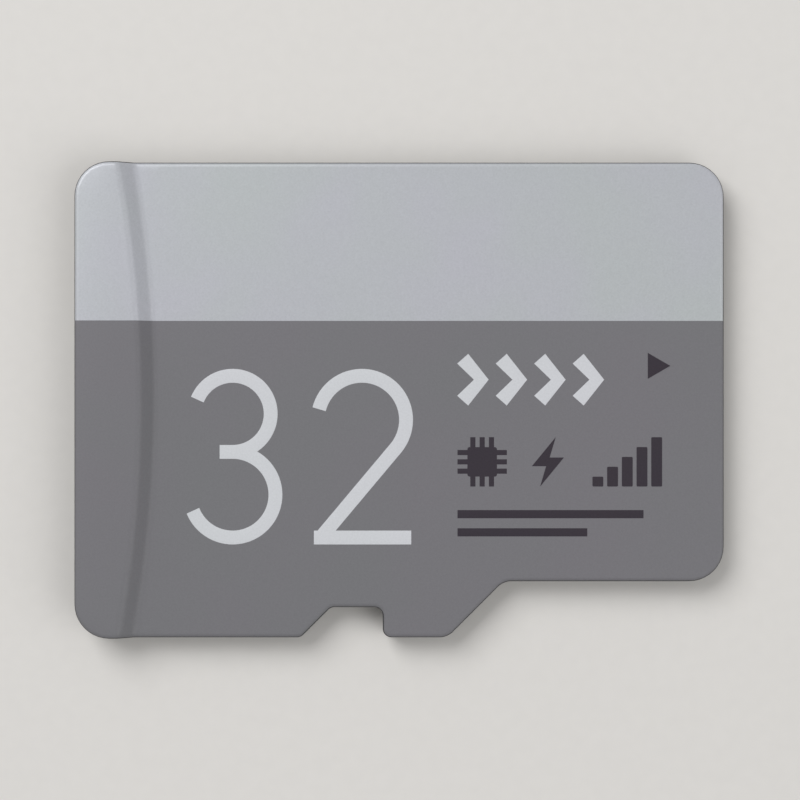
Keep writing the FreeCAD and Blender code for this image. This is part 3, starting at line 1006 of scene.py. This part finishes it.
@dataclass(frozen=True)
class BareCopper(Finish):
    """Cut end of a copper track."""

    name: str = "bare_copper"
    bright: Colour = (0.72, 0.36, 0.21)
    dull: Colour = (0.40, 0.19, 0.11)
    grain_per_mm: float = 45.0
    roughness: Span = (0.3, 0.5)
    depth: float = 0.001

    def lay_out(self, bench: NodeBench) -> None:
        """Lay out the copper's nodes.

        Args:
            bench: the node tree to fill.
        """
        grain = bench.noise(self.grain_per_mm, detail=3.0)
        bench.paint(bench.blend(bench.span(grain, UNIT), self.bright, self.dull))
        bench.roughen(bench.span(grain, self.roughness))
        bench.emboss(grain, self.depth)
        bench.constants(Metallic=1.0)


@dataclass(frozen=True)
class StudioPaper(Finish):
    """Pale paper under the card.

    Far off it fades into the backdrop for the camera. From below it is clear, so that the contact
    side can be looked at, and what the card covers lets light through to that side.
    """

    backdrop: Colour
    covered: bool
    colour: Colour = (0.672, 0.656, 0.634)
    fibres_per_mm: float = 3.0
    fibre_shade: Span = (0.99, 1.01)
    fade: Span = (60.0, 320.0)
    roughness: float = 0.9
    shine: float = 0.1

    def lay_out(self, bench: NodeBench) -> None:
        """Lay out the paper's nodes.

        Args:
            bench: the node tree to fill.
        """
        fibres = bench.noise(self.fibres_per_mm, detail=4.0)
        bench.paint(bench.shaded(self.colour, bench.span(fibres, self.fibre_shade)))
        bench.constants(Roughness=self.roughness, Specular_IOR_Level=self.shine)
        seen = bench.add("ShaderNodeLightPath").outputs["Is Camera Ray"]
        far = bench.add("ShaderNodeVectorMath", operation="LENGTH")
        bench.link(bench.place, far.inputs[0])
        faded = bench.reckon(Reckoning.MULTIPLY, bench.span(far.outputs["Value"], UNIT, self.fade), seen)
        glow = bench.add("ShaderNodeEmission")
        bench.feed(glow.inputs["Color"], self.backdrop)
        clear = bench.add("ShaderNodeBsdfTransparent").outputs["BSDF"]
        below = bench.add("ShaderNodeNewGeometry").outputs["Backfacing"]
        layers = [(faded, glow.outputs["Emission"]), (below, clear)]
        if self.covered:
            layers.append((bench.span(seen, (1.0, 0.0), UNIT), clear))
        bench.overlay(layers)


# The card


@dataclass(frozen=True)
class CutAway:
    """Block that is cut out of the lower long side: upright in front, at 45 degrees behind."""

    rear: float
    front: float
    depth: float


@dataclass(frozen=True)
class CardOutline:
    """Outline of the card in plan: a rectangle with a narrower contact end and a lock notch in one side."""

    length: float
    width: float
    shoulder_step: float = 1.3
    shoulder_length: float = 6.4
    notch_front: float = 7.9
    notch_floor: float = 1.2
    notch_depth: float = 0.7
    end_corner: float = 0.8
    shoulder_corner: float = 0.4
    notch_corner: float = 0.2

    @property
    def front(self) -> float:
        """X of the contact end."""
        return self.length / 2

    @property
    def side(self) -> float:
        """Y of the plain side."""
        return self.width / 2

    @property
    def notch(self) -> CutAway:
        """The lock notch."""
        front = self.front - self.notch_front
        return CutAway(front - self.notch_floor, front, self.notch_depth)

    @property
    def narrow_end(self) -> CutAway:
        """What the contact end is narrower by."""
        slant_front = self.front - self.shoulder_length + self.shoulder_step
        return CutAway(slant_front, self.front, self.shoulder_step)

    def corners(self) -> list[tuple[float, float, float, float]]:
        """List the outline's corners in order.

        Returns:
            Each corner's X, Y, radius and turn in degrees.
        """
        rear, front, side = -self.front, self.front, self.side
        notch, narrow = self.notch, self.narrow_end
        return [
            (rear, -side, self.end_corner, 90.0),
            (notch.rear - notch.depth, -side, self.notch_corner, 45.0),
            (notch.rear, notch.depth - side, self.notch_corner, 45.0),
            (notch.front, notch.depth - side, self.notch_corner, 90.0),
            (notch.front, -side, self.notch_corner, 90.0),
            (narrow.rear - narrow.depth, -side, self.shoulder_corner, 45.0),
            (narrow.rear, narrow.depth - side, self.shoulder_corner, 45.0),
            (front, narrow.depth - side, self.end_corner, 90.0),
            (front, side, self.end_corner, 90.0),
            (rear, side, self.end_corner, 90.0),
        ]

    def trim(self, block: CutAway, level: float) -> None:
        """Cut one block away from the flat face that is edited.

        Args:
            block: what is cut away.
            level: height of the face.
        """
        inner = block.depth - self.side
        slant_rear = block.rear - block.depth
        for x in (slant_rear, block.rear, block.front):
            pick_all()
            cut((x, 0.0, level), ALONG)
        pick_all()
        cut((0.0, inner, level), ACROSS)
        pick(Element.FACE, lambda place, normal: block.rear < place.x < block.front and place.y < inner)
        bpy.ops.mesh.delete(type="FACE")
        pick(Element.FACE, lambda place, normal: slant_rear < place.x < block.rear and place.y < inner)
        cut((block.rear, inner, level), (1.0, -1.0, 0.0), drop=True)

    def blank(self, name: str, level: float) -> Piece:
        """Trim a rectangle to the outline and round its corners.

        Args:
            name: name of the new piece.
            level: its height.

        Returns:
            A piece with one flat face.
        """
        piece = rectangle(name, (-self.front, -self.side), (self.front, self.side), level)
        with editing(piece):
            self.trim(self.notch, level)
            self.trim(self.narrow_end, level)
            pick_all()
            bpy.ops.mesh.dissolve_limited(angle_limit=FLAT_ANGLE)
            for x, y, radius, turn in self.corners():
                corner = Vector((x, y, level))
                pick(Element.VERT, lambda place, normal: (place - corner).length < MERGE_REACH)
                round_corners(radius * math.tan(math.radians(turn / 2)), CORNER_STEPS)
        return piece


@dataclass(frozen=True)
class GripLip:
    """Raised lip across the rear end, with a ramp that follows an arc about a distant upright axis."""

    rear: float
    height: float
    crest_depth: float = 1.5
    ramp_run: float = 0.34
    arc: float = 30.0
    blend: float = 0.2
    row_step: float = 0.03
    column_step: float = 0.22

    @property
    def axis(self) -> float:
        """X of the arc's axis."""
        return self.rear + self.crest_depth - self.arc

    @property
    def slope(self) -> float:
        """Angle of the ramp, in radians."""
        return math.atan2(self.height, self.ramp_run)

    @property
    def reach(self) -> float:
        """Length along the flat or the ramp that each blend takes."""
        return self.blend * math.tan(self.slope / 2)

    def rows(self, half_width: float) -> list[float]:
        """Place the cuts across the card that carry the ramp.

        Args:
            half_width: half the width of the card.

        Returns:
            The X of each, from the ramp's rear end at the card's sides to its front end.
        """
        start = self.axis + math.sqrt((self.arc - self.reach) ** 2 - half_width**2)
        end = self.axis + self.arc + self.ramp_run + self.reach
        count = math.ceil((end - start) / self.row_step)
        return [start + (end - start) * row / count for row in range(count + 1)]

    def columns(self, half_width: float) -> list[float]:
        """Give the Y of the cuts along the ramp, which let it follow its arc."""
        count = math.ceil(2 * half_width / self.column_step)
        return [half_width * (2 * column / count - 1) for column in range(1, count)]

    def rise(self, place: Vector) -> float:
        """Give the height of the lip over the card's flat top.

        Args:
            place: a point, of which X and Y count.

        Returns:
            The rise, from 0 in front of the ramp to the whole height behind it.
        """
        along = math.hypot(place.x - self.axis, place.y) - self.arc
        blended = self.reach * math.cos(self.slope)
        if along <= -self.reach:
            return self.height
        if along <= blended:
            return self.height - self.blend + math.sqrt(self.blend**2 - (along + self.reach) ** 2)
        if along < self.ramp_run - blended:
            return self.height * (1.0 - along / self.ramp_run)
        left = max(0.0, self.ramp_run + self.reach - along)
        return self.blend - math.sqrt(self.blend**2 - left**2)

    def raise_on(self, piece: Piece, above: float) -> None:
        """Lift what lies over a level to the lip's shape.

        Args:
            piece: a piece whose top is still level.
            above: the level over which points are lifted.
        """
        for vertex in piece.data.vertices:
            if vertex.co.z > above:
                vertex.co.z += self.rise(vertex.co)


@dataclass
class MouldedShell:
    """Black moulding over the board: notched plate with a rounded rim and the grip lip."""

    outline: CardOutline
    base: float
    peak: float
    top: float = 0.7
    ink: float = 0.010
    rim: float = 0.11
    rim_steps: int = 6
    rim_facing: float = 0.1
    shell: Piece = field(init=False)
    printed: Piece = field(init=False)

    @property
    def lip(self) -> GripLip:
        """The grip lip, which stands from the flat top to the peak."""
        return GripLip(rear=-self.outline.front, height=self.peak - self.top)

    def build(self) -> None:
        """Model the shell, and beside it the skin of its top that takes the print."""
        self.shell = self.outline.blank("card_shell", self.base)
        wall = self.top - self.ink - self.rim - self.base
        with editing(self.shell):
            pick_all()
            pull_up(wall)
            round_rim(self.rim, self.rim_steps)
            face_outwards()
            self.divide_for_lip()
            pick(Element.FACE, lambda place, normal: normal.z > FACING)
            bpy.ops.mesh.duplicate()
            bpy.ops.mesh.separate(type="SELECTED")
        self.printed = next(piece for piece in bpy.context.selected_objects if piece != self.shell)
        for piece in (self.shell, self.printed):
            self.lip.raise_on(piece, self.base + MERGE_REACH)

    def divide_for_lip(self) -> None:
        """Cut the rear of the edited shell finely enough to carry the lip."""
        rows = self.lip.rows(self.outline.side)
        for x in rows:
            pick(Element.FACE, lambda place, normal: normal.z > -FACING)
            cut((x, 0.0, 0.0), ALONG)
        for y in self.lip.columns(self.outline.side):
            pick(Element.FACE, lambda place, normal: place.x < rows[-1] and normal.z > self.rim_facing)
            cut((0.0, y, 0.0), ACROSS)

    def dress(self, compound: MouldingCompound) -> None:
        """Finish the shell and let it stand for the moulding."""
        finish_piece(self.shell, "moulding", compound.material())
        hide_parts("moulded_body")


@dataclass(frozen=True)
class MarkPress:
    """Press that lays marks on the label's flat top, as a thin coat of ink."""

    top: float
    coat: float = 0.004

    def line(self, route: Sequence[Point], width: float) -> Piece:
        """Print one stroke along a route."""
        return flat_stroke("line", route, width, self.top, self.coat)

    def block(self, low: Point, high: Point, corner: float) -> Piece:
        """Print one filled block with rounded corners."""
        return rounded_slab("block", low, high, (self.top - self.coat, self.top + self.coat), corner)

    def shape(self, route: Sequence[Point]) -> Piece:
        """Print one filled shape with straight sides."""
        return flat_shape("shape", route, self.top, self.coat)


class Mark(ABC):
    """Mark that is printed on the label."""

    @abstractmethod
    def build(self, press: MarkPress) -> list[Piece]:
        """Print the mark.

        Args:
            press: what lays it on the label.

        Returns:
            Its pieces.
        """


@dataclass(frozen=True)
class PlainNumber(Mark):
    """The number 32 in large open figures, drawn as arcs and lines of one width; angles in degrees."""

    low: Point = (-5.02, -3.34)
    height: float = 4.06
    stroke: float = 0.32
    gap: float = 0.98
    upper_bowl: float = 0.88
    mouth: float = 158.0
    tongue: float = 0.3
    bow: float = 1.02
    bow_start: float = 166.0
    slant: float = 40.0
    foot_run: float = 2.16

    @property
    def run(self) -> float:
        """Height between the middles of the lowest and the highest stroke."""
        return self.height - self.stroke

    @property
    def lower_bowl(self) -> float:
        """Radius of the lower bowl of the three."""
        return self.run / 2 - self.upper_bowl

    @property
    def start(self) -> Point:
        """Middle of the lowest stroke at the rear end of the number."""
        return self.low[0] + self.stroke / 2, self.low[1] + self.stroke / 2

    def build(self, press: MarkPress) -> list[Piece]:
        """Print the two figures, each as one skin."""
        figures = (self.three, self.two)
        return [fused([press.line(route, self.stroke) for route in figure]) for figure in figures]

    @property
    def three(self) -> list[list[Point]]:
        """Routes of the three: two bowls that meet in a short tongue."""
        rear, foot = self.start
        middle = rear + self.lower_bowl
        waist = foot + 2 * self.lower_bowl
        upper = arc((middle, waist + self.upper_bowl), self.upper_bowl, self.mouth, -90.0)
        lower = arc((middle, foot + self.lower_bowl), self.lower_bowl, 90.0, -self.mouth)
        return [[*upper, (middle - self.tongue, waist)], lower]

    @property
    def two(self) -> list[list[Point]]:
        """Routes of the two: a bow that falls into a slanted leg, and a straight foot."""
        rear = self.start[0] + 2 * self.lower_bowl + self.gap
        foot = self.start[1]
        bow = arc((rear + self.bow, foot + self.run - self.bow), self.bow, self.bow_start, -self.slant)
        bow_end, bow_low = bow[-1]
        heel = bow_end - (bow_low - foot) * math.tan(math.radians(self.slant))
        return [[*bow, (heel, foot)], [(heel - self.stroke / 2, foot), (rear + self.foot_run, foot)]]


@dataclass(frozen=True)
class Chevrons(Mark):
    """Row of chevrons that point to the contact end."""

    low: Point = (1.45, -0.015)
    wide: float = 0.43
    tall: float = 0.97
    count: int = 4
    pitch: float = 0.89
    stroke: float = 0.34

    def build(self, press: MarkPress) -> list[Piece]:
        """Print the chevrons.

        Args:
            press: what lays it on the label.

        Returns:
            One piece for each.
        """
        y = self.low[1]
        rears = [self.low[0] + index * self.pitch for index in range(self.count)]
        routes = [[(x, y + self.tall), (x + self.wide, y + self.tall / 2), (x, y)] for x in rears]
        return [press.line(route, self.stroke) for route in routes]


@dataclass(frozen=True)
class ChipSign(Mark):
    """Square chip with three legs on each side."""

    low: Point = (1.33, -2.00)
    size: float = 1.14
    leg_length: float = 0.23
    leg_width: float = 0.12
    leg_pitch: float = 0.215
    corner: float = 0.05

    def build(self, press: MarkPress) -> list[Piece]:
        """Print the chip.

        Args:
            press: what lays it on the label.

        Returns:
            The chip as one skin.
        """
        x, y = self.low
        inner = self.size - self.leg_length
        body = press.block((x + self.leg_length, y + self.leg_length), (x + inner, y + inner), self.corner)
        marks = [body]
        for side in (-1, 0, 1):
            leg = self.size / 2 + side * self.leg_pitch
            marks.append(press.line([(x, y + leg), (x + self.size, y + leg)], self.leg_width))
            marks.append(press.line([(x + leg, y), (x + leg, y + self.size)], self.leg_width))
        return [fused(marks)]


@dataclass(frozen=True)
class FlashSign(Mark):
    """Flash of two slanted points, one up and one down, that meet in the middle."""

    middle: Point = (3.42, -1.43)
    tip: Point = (0.18, 0.57)
    shoulder: Point = (-0.37, -0.10)
    neck: float = -0.04

    def build(self, press: MarkPress) -> list[Piece]:
        """Print the flash.

        Args:
            press: what lays it on the label.

        Returns:
            The flash.
        """
        x, y = self.middle
        half = [self.tip, self.shoulder, (self.neck, self.shoulder[1])]
        return [press.shape([(x + turn * along, y + turn * up) for turn in (1, -1) for along, up in half])]


@dataclass(frozen=True)
class RisingBars(Mark):
    """Bars that rise step by step towards the contact end."""

    low: Point = (4.45, -2.00)
    count: int = 5
    pitch: float = 0.34
    width: float = 0.25
    step: float = 0.228
    corner: float = 0.025

    def build(self, press: MarkPress) -> list[Piece]:
        """Print the bars.

        Args:
            press: what lays it on the label.

        Returns:
            One piece for each.
        """
        y = self.low[1]
        rears = [self.low[0] + index * self.pitch for index in range(self.count)]
        tops = [y + self.step * (index + 1) for index in range(self.count)]
        return [press.block((x, y), (x + self.width, top), self.corner) for x, top in zip(rears, tops)]


@dataclass(frozen=True)
class Rules(Mark):
    """Rules under the signs, one above the other."""

    low: Point = (1.33, -3.06)
    lengths: tuple[float, ...] = (3.0, 4.3)
    pitch: float = 0.42
    width: float = 0.19

    def build(self, press: MarkPress) -> list[Piece]:
        """Print the rules.

        Args:
            press: what lays it on the label.

        Returns:
            One piece for each, the lowest first.
        """
        x, y = self.low
        levels = [y + index * self.pitch for index in range(len(self.lengths))]
        routes = [[(x, level), (x + length, level)] for level, length in zip(levels, self.lengths)]
        return [press.line(route, self.width) for route in routes]


@dataclass(frozen=True)
class PushArrow(Mark):
    """Small triangle that points to the contact end."""

    tip: Point = (6.25, 0.79)
    length: float = 0.52
    height: float = 0.60

    def build(self, press: MarkPress) -> list[Piece]:
        """Print the triangle.

        Args:
            press: what lays it on the label.

        Returns:
            The triangle.
        """
        x, y = self.tip
        base = [(x - self.length, y + side * self.height / 2) for side in (1, -1)]
        return [press.shape([self.tip, *base])]


@dataclass
class LabelPrint:
    """Print on the label side: a silver band, a grey field, a plain number and a few plain signs."""

    skin: Piece
    ink: float
    press: MarkPress
    band_edge: float = 1.83
    pale: tuple[Mark, ...] = (PlainNumber(), Chevrons())
    dark: tuple[Mark, ...] = (ChipSign(), FlashSign(), RisingBars(), Rules(), PushArrow())
    band: Piece = field(init=False)
    ground: Piece = field(init=False)
    pale_marks: Piece = field(init=False)
    dark_marks: Piece = field(init=False)

    def build(self) -> None:
        """Model the two fields of ink and the marks on them."""
        self.band = copied(self.skin, "silver_band")
        self.ground = self.skin
        self.ground.name = "grey_field"
        for piece, facing in ((self.band, -1.0), (self.ground, 1.0)):
            with editing(piece):
                pick_all()
                cut((0.0, self.band_edge, 0.0), (0.0, facing, 0.0), drop=True)
            modify(piece, "SOLIDIFY", thickness=self.ink, offset=1.0, use_even_offset=True)
        self.pale_marks = self.printed(self.pale, "pale_marks")
        self.dark_marks = self.printed(self.dark, "dark_marks")

    def printed(self, marks: Sequence[Mark], name: str) -> Piece:
        """Print several marks as one piece."""
        return joined([piece for mark in marks for piece in mark.build(self.press)], name)

    def dress(self, silver: PrintedInk, grey: PrintedInk, pale: PrintedInk, dark: PrintedInk) -> None:
        """Finish the print with its inks.

        Args:
            silver: ink of the band.
            grey: ink of the ground.
            pale: ink of the number and the chevrons.
            dark: ink of the signs, the rules and the arrow.
        """
        finish_piece(self.band, "label_silver", silver.material())
        finish_piece(self.ground, "label_grey", grey.material())
        finish_piece(self.pale_marks, "label_mark", pale.material())
        finish_piece(self.dark_marks, "label_dark", dark.material())


@dataclass(frozen=True)
class LeadIn:
    """Bevel under the front edge of the board, which lifts the socket's springs."""

    front: float
    run: float = 0.2
    rise: float = 0.1

    def trim(self) -> None:
        """Cut the bevel on the edited board."""
        pick_all()
        cut((self.front, 0.0, self.rise), (self.rise, 0.0, -self.run), drop=True, cap=True)

    def face(self, level: float) -> float:
        """X of the bevel at a height."""
        return self.front - (self.rise - level) * self.run / self.rise


@dataclass(frozen=True)
class MaskRelief:
    """Tracks, vias and covered test pads that stand out a little under the solder mask."""

    height: float
    track_width: float = 0.15
    track_lap: float = 0.1
    bend_gap: float = 0.8
    fan: float = 0.82
    via_radius: float = 0.17
    via_row: float = 0.9
    via_stagger: float = 0.55
    via_lines: int = 3
    pad_radius: float = 0.28
    pad_rows: tuple[float, ...] = (-5.6, -4.4)
    pad_count: int = 6
    pad_pitch: float = 1.35
    dome_corners: int = 28
    dome_slopes: tuple[Span, ...] = ((0.5, 0.35), (1.2, 0.15))

    def dome(self, radius: float) -> Piece:
        """Model a low round button with a soft edge, in the middle of the card.

        Args:
            radius: its radius.

        Returns:
            The button, with its face at the lowest level of the card.
        """
        bpy.ops.object.select_all(action="DESELECT")
        bpy.ops.mesh.primitive_circle_add(
            vertices=self.dome_corners, radius=radius, fill_type="NGON", location=(0.0, 0.0, self.height / 2)
        )
        piece = bpy.context.object
        settle(piece)
        with editing(piece):
            pick_all()
            pull_up(self.height)
            face_outwards()
            pick(Element.FACE, lambda place, normal: normal.z < -FACING)
            for inward, outward in self.dome_slopes:
                bpy.ops.mesh.inset(thickness=inward * self.height, depth=outward * self.height)
        return piece

    def spread(self, radius: float, places: Sequence[Point]) -> list[Piece]:
        """Model one button and set a copy of it at each place.

        Args:
            radius: its radius.
            places: X and Y of each.

        Returns:
            The buttons.
        """
        model = self.dome(radius)
        copies = [copied(model, "button") for _ in places[1:]]
        for piece, (x, y) in zip([model, *copies], places):
            piece.location = (x, y, 0.0)
            settle(piece)
        return [model, *copies]

    def route(self, index: int, contact: str) -> list[Point]:
        """Lay out the track of one contact.

        Args:
            index: which contact it is, counted from 0.
            contact: the contact's name.

        Returns:
            The track's points, from beside the contact to its via.
        """
        y = middle_y(contact)
        rear = millimetres(contact)[0].x
        via = (self.via_row - self.via_stagger * (index % self.via_lines), y * self.fan)
        bend = rear - self.bend_gap
        return [(rear - self.track_lap, y), (bend, y), (bend - abs(via[1] - y), via[1]), via]

    def track(self, route: Sequence[Point]) -> Piece:
        """Model one track, of which the lower half stands out of the mask."""
        return flat_stroke("track", route, self.track_width, self.height, self.height)

    def build(self, contacts: Sequence[str]) -> Piece:
        """Model all the relief as one piece.

        Args:
            contacts: names of the contacts that the tracks start from.

        Returns:
            The relief.
        """
        routes = [self.route(index, contact) for index, contact in enumerate(contacts)]
        tracks = [self.track(route) for route in routes]
        vias = self.spread(self.via_radius, [route[-1] for route in routes])
        first = -self.pad_pitch * (self.pad_count - 1) / 2
        across = [first + self.pad_pitch * pad for pad in range(self.pad_count)]
        pads = self.spread(self.pad_radius, [(x, y) for x in self.pad_rows for y in across])
        return joined(tracks + vias + pads, "mask_relief")


@dataclass(frozen=True)
class PlatingTails:
    """Cut copper ends that the contacts' plating tails leave on the bevelled front."""

    lead_in: LeadIn
    width: float = 0.10
    height: float = 0.02
    level: float = 0.04
    depth: float = 0.1
    proud: float = 0.002
    corner: float = 0.0125

    def build(self, contacts: Sequence[str]) -> Piece:
        """Model all the ends as one piece.

        Args:
            contacts: names of the contacts that the tails belong to.

        Returns:
            The ends.
        """
        return joined([self.end(contact) for contact in contacts], "plating_tail_ends")

    def end(self, contact: str) -> Piece:
        """Model the end of one contact's tail, with its face along the bevel.

        Args:
            contact: name of the contact.

        Returns:
            The end, as a closed block.
        """
        y = middle_y(contact)
        face = self.lead_in.face(self.level)
        rear = (face - self.depth, y - self.width / 2)
        front = (face + self.proud, y + self.width / 2)
        levels = (self.level - self.height / 2, self.level + self.height / 2)
        piece = rounded_slab("tail", rear, front, levels, self.corner)
        for vertex in piece.data.vertices:
            if vertex.co.x > face - self.depth / 2:
                vertex.co.x += self.lead_in.face(vertex.co.z) - face
        return piece


@dataclass
class CircuitBoard:
    """Board under the moulding: solder mask with windows over the contacts, and a bevelled front."""

    outline: CardOutline
    thickness: float
    contacts: Sequence[str]
    relief_height: float = 0.012
    window_corner: float = 0.12
    window_levels: Span = (-1.0, 0.05)
    mask_facing: float = -0.95
    board: Piece = field(init=False)
    relief: Piece = field(init=False)
    tails: Piece = field(init=False)

    def build(self) -> None:
        """Model the board, the relief under its mask and the cut ends of its plating tails."""
        lead_in = LeadIn(self.outline.front)
        self.board = self.outline.blank("board_laminate", self.relief_height)
        with editing(self.board):
            pick_all()
            pull_up(self.thickness - self.relief_height)
            face_outwards()
            lead_in.trim()
        windows = []
        for contact in self.contacts:
            low, high = millimetres(contact)
            windows.append(rounded_slab("window", low, high, self.window_levels, self.window_corner))
        combine(self.board, joined(windows, "windows"), Merge.CUT_OUT)
        self.relief = MaskRelief(self.relief_height).build(self.contacts)
        self.tails = PlatingTails(lead_in).build(self.contacts)

    def dress(self, mask: SolderMask, covered: SolderMask, edge: LaminateEdge, copper: BareCopper) -> None:
        """Finish the board, with the mask below and the sawn laminate round its edge.

        Args:
            mask: solder mask of the underside.
            covered: solder mask where copper lies under it.
            edge: sawn laminate.
            copper: cut ends of the tails.
        """
        finish_piece(self.board, "board", mask.material(), edge.material())
        for face in self.board.data.polygons:
            if face.normal.z > self.mask_facing:
                face.material_index = 1
        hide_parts("circuit_board")
        finish_piece(self.relief, "board", covered.material())
        finish_piece(self.tails, "contact_gold", copper.material())


@dataclass
class CarriedNodes:
    """Solids that stay as they are and take a finish: contacts, lands, dies, films, wires and chip parts."""

    chip_row: tuple[str, str] = ("capacitor_1", "capacitor_2")
    capacitor: Colour = (0.36, 0.24, 0.15)
    resistor: Colour = (0.10, 0.10, 0.105)
    drawing_lines: Axes = (9.0, 60.0, 9.0)

    def finishes(self) -> dict[str, Material]:
        """Make the finishes that the nodes take.

        Returns:
            Each finish, by the start of the nodes' names.
        """
        first, second = map(middle_y, self.chip_row)
        row = {"first_middle": first, "pitch": second - first}
        plate = GoldPlate().material()
        wire = GoldPlate("drawn_gold", brush=self.drawing_lines).material()
        silicon = GroundSilicon().material()
        return {
            "contact_": plate,
            "rear_bond_fingers": plate,
            "front_bond_fingers": plate,
            "chip_lands": plate,
            "flash_die": silicon,
            "controller_die": silicon,
            "die_film": AdhesiveFilm().material(),
            "upper_die_wires": wire,
            "lower_die_wires": wire,
            "controller_wires": wire,
            "capacitor_": FiredCeramic("capacitor_fired", self.capacitor, **row).material(),
            "resistor_": FiredCeramic("resistor_fired", self.resistor, **row).material(),
        }

    def dress(self) -> None:
        """Give each node the finish that its name starts with."""
        for start, material in self.finishes().items():
            for name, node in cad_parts.items():
                if name.startswith(start):
                    node.material_slots[0].material = material
                    log.info("node %s: %s", name, material.name)


# The studio


@dataclass(frozen=True)
class SoftLamp:
    """Square lamp that hangs over the card and shines on it; millimetres and watts."""

    name: str
    place: Axes
    size: float
    power: float

    def hang(self) -> None:
        """Add the lamp to the scene."""
        bpy.ops.object.select_all(action="DESELECT")
        bpy.ops.object.light_add(type="AREA", location=Vector(self.place) * MM)
        lamp = bpy.context.object
        lamp.name = self.name
        lamp.data.size = self.size * MM
        lamp.data.energy = self.power
        lamp.rotation_euler = (-Vector(self.place)).to_track_quat("-Z", "Y").to_euler()


@dataclass
class Studio:
    """Pale paper floor, soft lamps and a camera that looks straight down on the label."""

    outline: CardOutline
    floor_growth: float = 120.0
    floor_drop: float = 0.003
    covered_share: float = 0.996
    share_of_frame: float = 0.80
    lens: float = 100.0
    sensor: float = 36.0
    clip: Span = (1.0, 5000.0)
    sky: Colour = (0.94, 0.94, 0.935)
    sky_light: float = 0.42
    backdrop_rays: tuple[str, ...] = ("Is Camera Ray", "Is Glossy Ray", "Is Transmission Ray")
    lamps: tuple[SoftLamp, ...] = (
        SoftLamp("key_lamp", (-95.0, 105.0, 150.0), 130.0, 0.30),
        SoftLamp("fill_lamp", (130.0, -60.0, 130.0), 170.0, 0.12),
    )

    def build(self) -> None:
        """Lay the floor and set lamps, sky and camera."""
        self.lay_floor()
        for lamp in self.lamps:
            lamp.hang()
        self.set_sky()
        self.set_camera()

    def lay_floor(self) -> None:
        """Lay the paper, with a field of its own where the card covers it."""
        floor = self.outline.blank("studio_floor", -self.floor_drop)
        with editing(floor):
            bpy.ops.mesh.select_mode(type=Element.EDGE.value)
            pick_all()
            widen(self.covered_share)
            bpy.ops.mesh.extrude_edges_move()
            widen(self.floor_growth)
        floor.scale = (MM, MM, MM)
        settle(floor)
        for name, covered in (("open_paper", False), ("covered_paper", True)):
            floor.data.materials.append(StudioPaper(name, self.sky, covered).material())
        for face in floor.data.polygons:
            face.material_index = int(face.center.length < self.outline.length * MM)

    def set_sky(self) -> None:
        """Light the card softly from all round, with a pale backdrop for the camera and for reflections."""
        world = bpy.data.worlds.new("studio_sky")
        bpy.context.scene.world = world
        world.use_nodes = True
        tree = world.node_tree
        ground = tree.nodes["Background"]
        ground.inputs["Color"].default_value = (*self.sky, 1.0)
        path = tree.nodes.new("ShaderNodeLightPath")
        seen = path.outputs[self.backdrop_rays[0]]
        for ray in self.backdrop_rays[1:]:
            either = tree.nodes.new("ShaderNodeMath")
            either.operation = "MAXIMUM"
            tree.links.new(seen, either.inputs[0])
            tree.links.new(path.outputs[ray], either.inputs[1])
            seen = either.outputs["Value"]
        strength = tree.nodes.new("ShaderNodeMapRange")
        strength.inputs["To Min"].default_value = self.sky_light
        strength.inputs["To Max"].default_value = 1.0
        tree.links.new(seen, strength.inputs["Value"])
        tree.links.new(strength.outputs["Result"], ground.inputs["Strength"])

    def set_camera(self) -> None:
        """Set the camera over the card, far enough for the card to take its share of the frame."""
        distance = self.outline.length / self.share_of_frame * self.lens / self.sensor
        bpy.ops.object.select_all(action="DESELECT")
        bpy.ops.object.camera_add(location=(0.0, 0.0, distance * MM), rotation=(0.0, 0.0, 0.0))
        camera = bpy.context.object
        camera.name = "label_camera"
        camera.data.lens = self.lens
        camera.data.sensor_width = self.sensor
        camera.data.clip_start, camera.data.clip_end = (reach * MM for reach in self.clip)
        bpy.context.scene.camera = camera


def main() -> None:
    """Build the card piece by piece, dress it and set it in the studio."""
    logging.basicConfig(level=logging.INFO, format="%(name)s: %(message)s")
    bpy.context.scene.view_settings.view_transform = "Standard"
    low, high = millimetres("moulded_body")
    contacts = sorted(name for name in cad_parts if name.startswith("contact_"))
    outline = CardOutline(length=high.x - low.x, width=high.y - low.y)

    shell = MouldedShell(outline, base=low.z, peak=high.z)
    shell.build()
    label = LabelPrint(shell.printed, shell.ink, MarkPress(shell.top))
    label.build()
    board = CircuitBoard(outline, thickness=low.z, contacts=contacts)
    board.build()

    shell.dress(MouldingCompound())
    label.dress(
        silver=PrintedInk(
            "silver_ink",
            colour=(0.392, 0.418, 0.424),
            drift=(0.404, 0.409, 0.450),
            roughness=0.40,
            metallic=0.25,
            flake=0.03,
        ),
        grey=PrintedInk(
            "grey_ink",
            colour=(0.142, 0.143, 0.152),
            drift=(0.146, 0.141, 0.155),
            roughness=0.45,
            flake=0.012,
        ),
        pale=PrintedInk("pale_ink", (0.555, 0.572, 0.595), (0.565, 0.570, 0.605), roughness=0.46),
        dark=PrintedInk(
            "dark_ink",
            colour=(0.024, 0.019, 0.028),
            drift=(0.026, 0.020, 0.028),
            roughness=0.55,
            shine=0.22,
        ),
    )
    board.dress(
        mask=SolderMask(),
        covered=SolderMask("mask_over_copper", colour=(0.021, 0.0225, 0.0205)),
        edge=LaminateEdge(),
        copper=BareCopper(),
    )
    CarriedNodes().dress()
    Studio(outline).build()


if __name__ == "__main__":
    main()
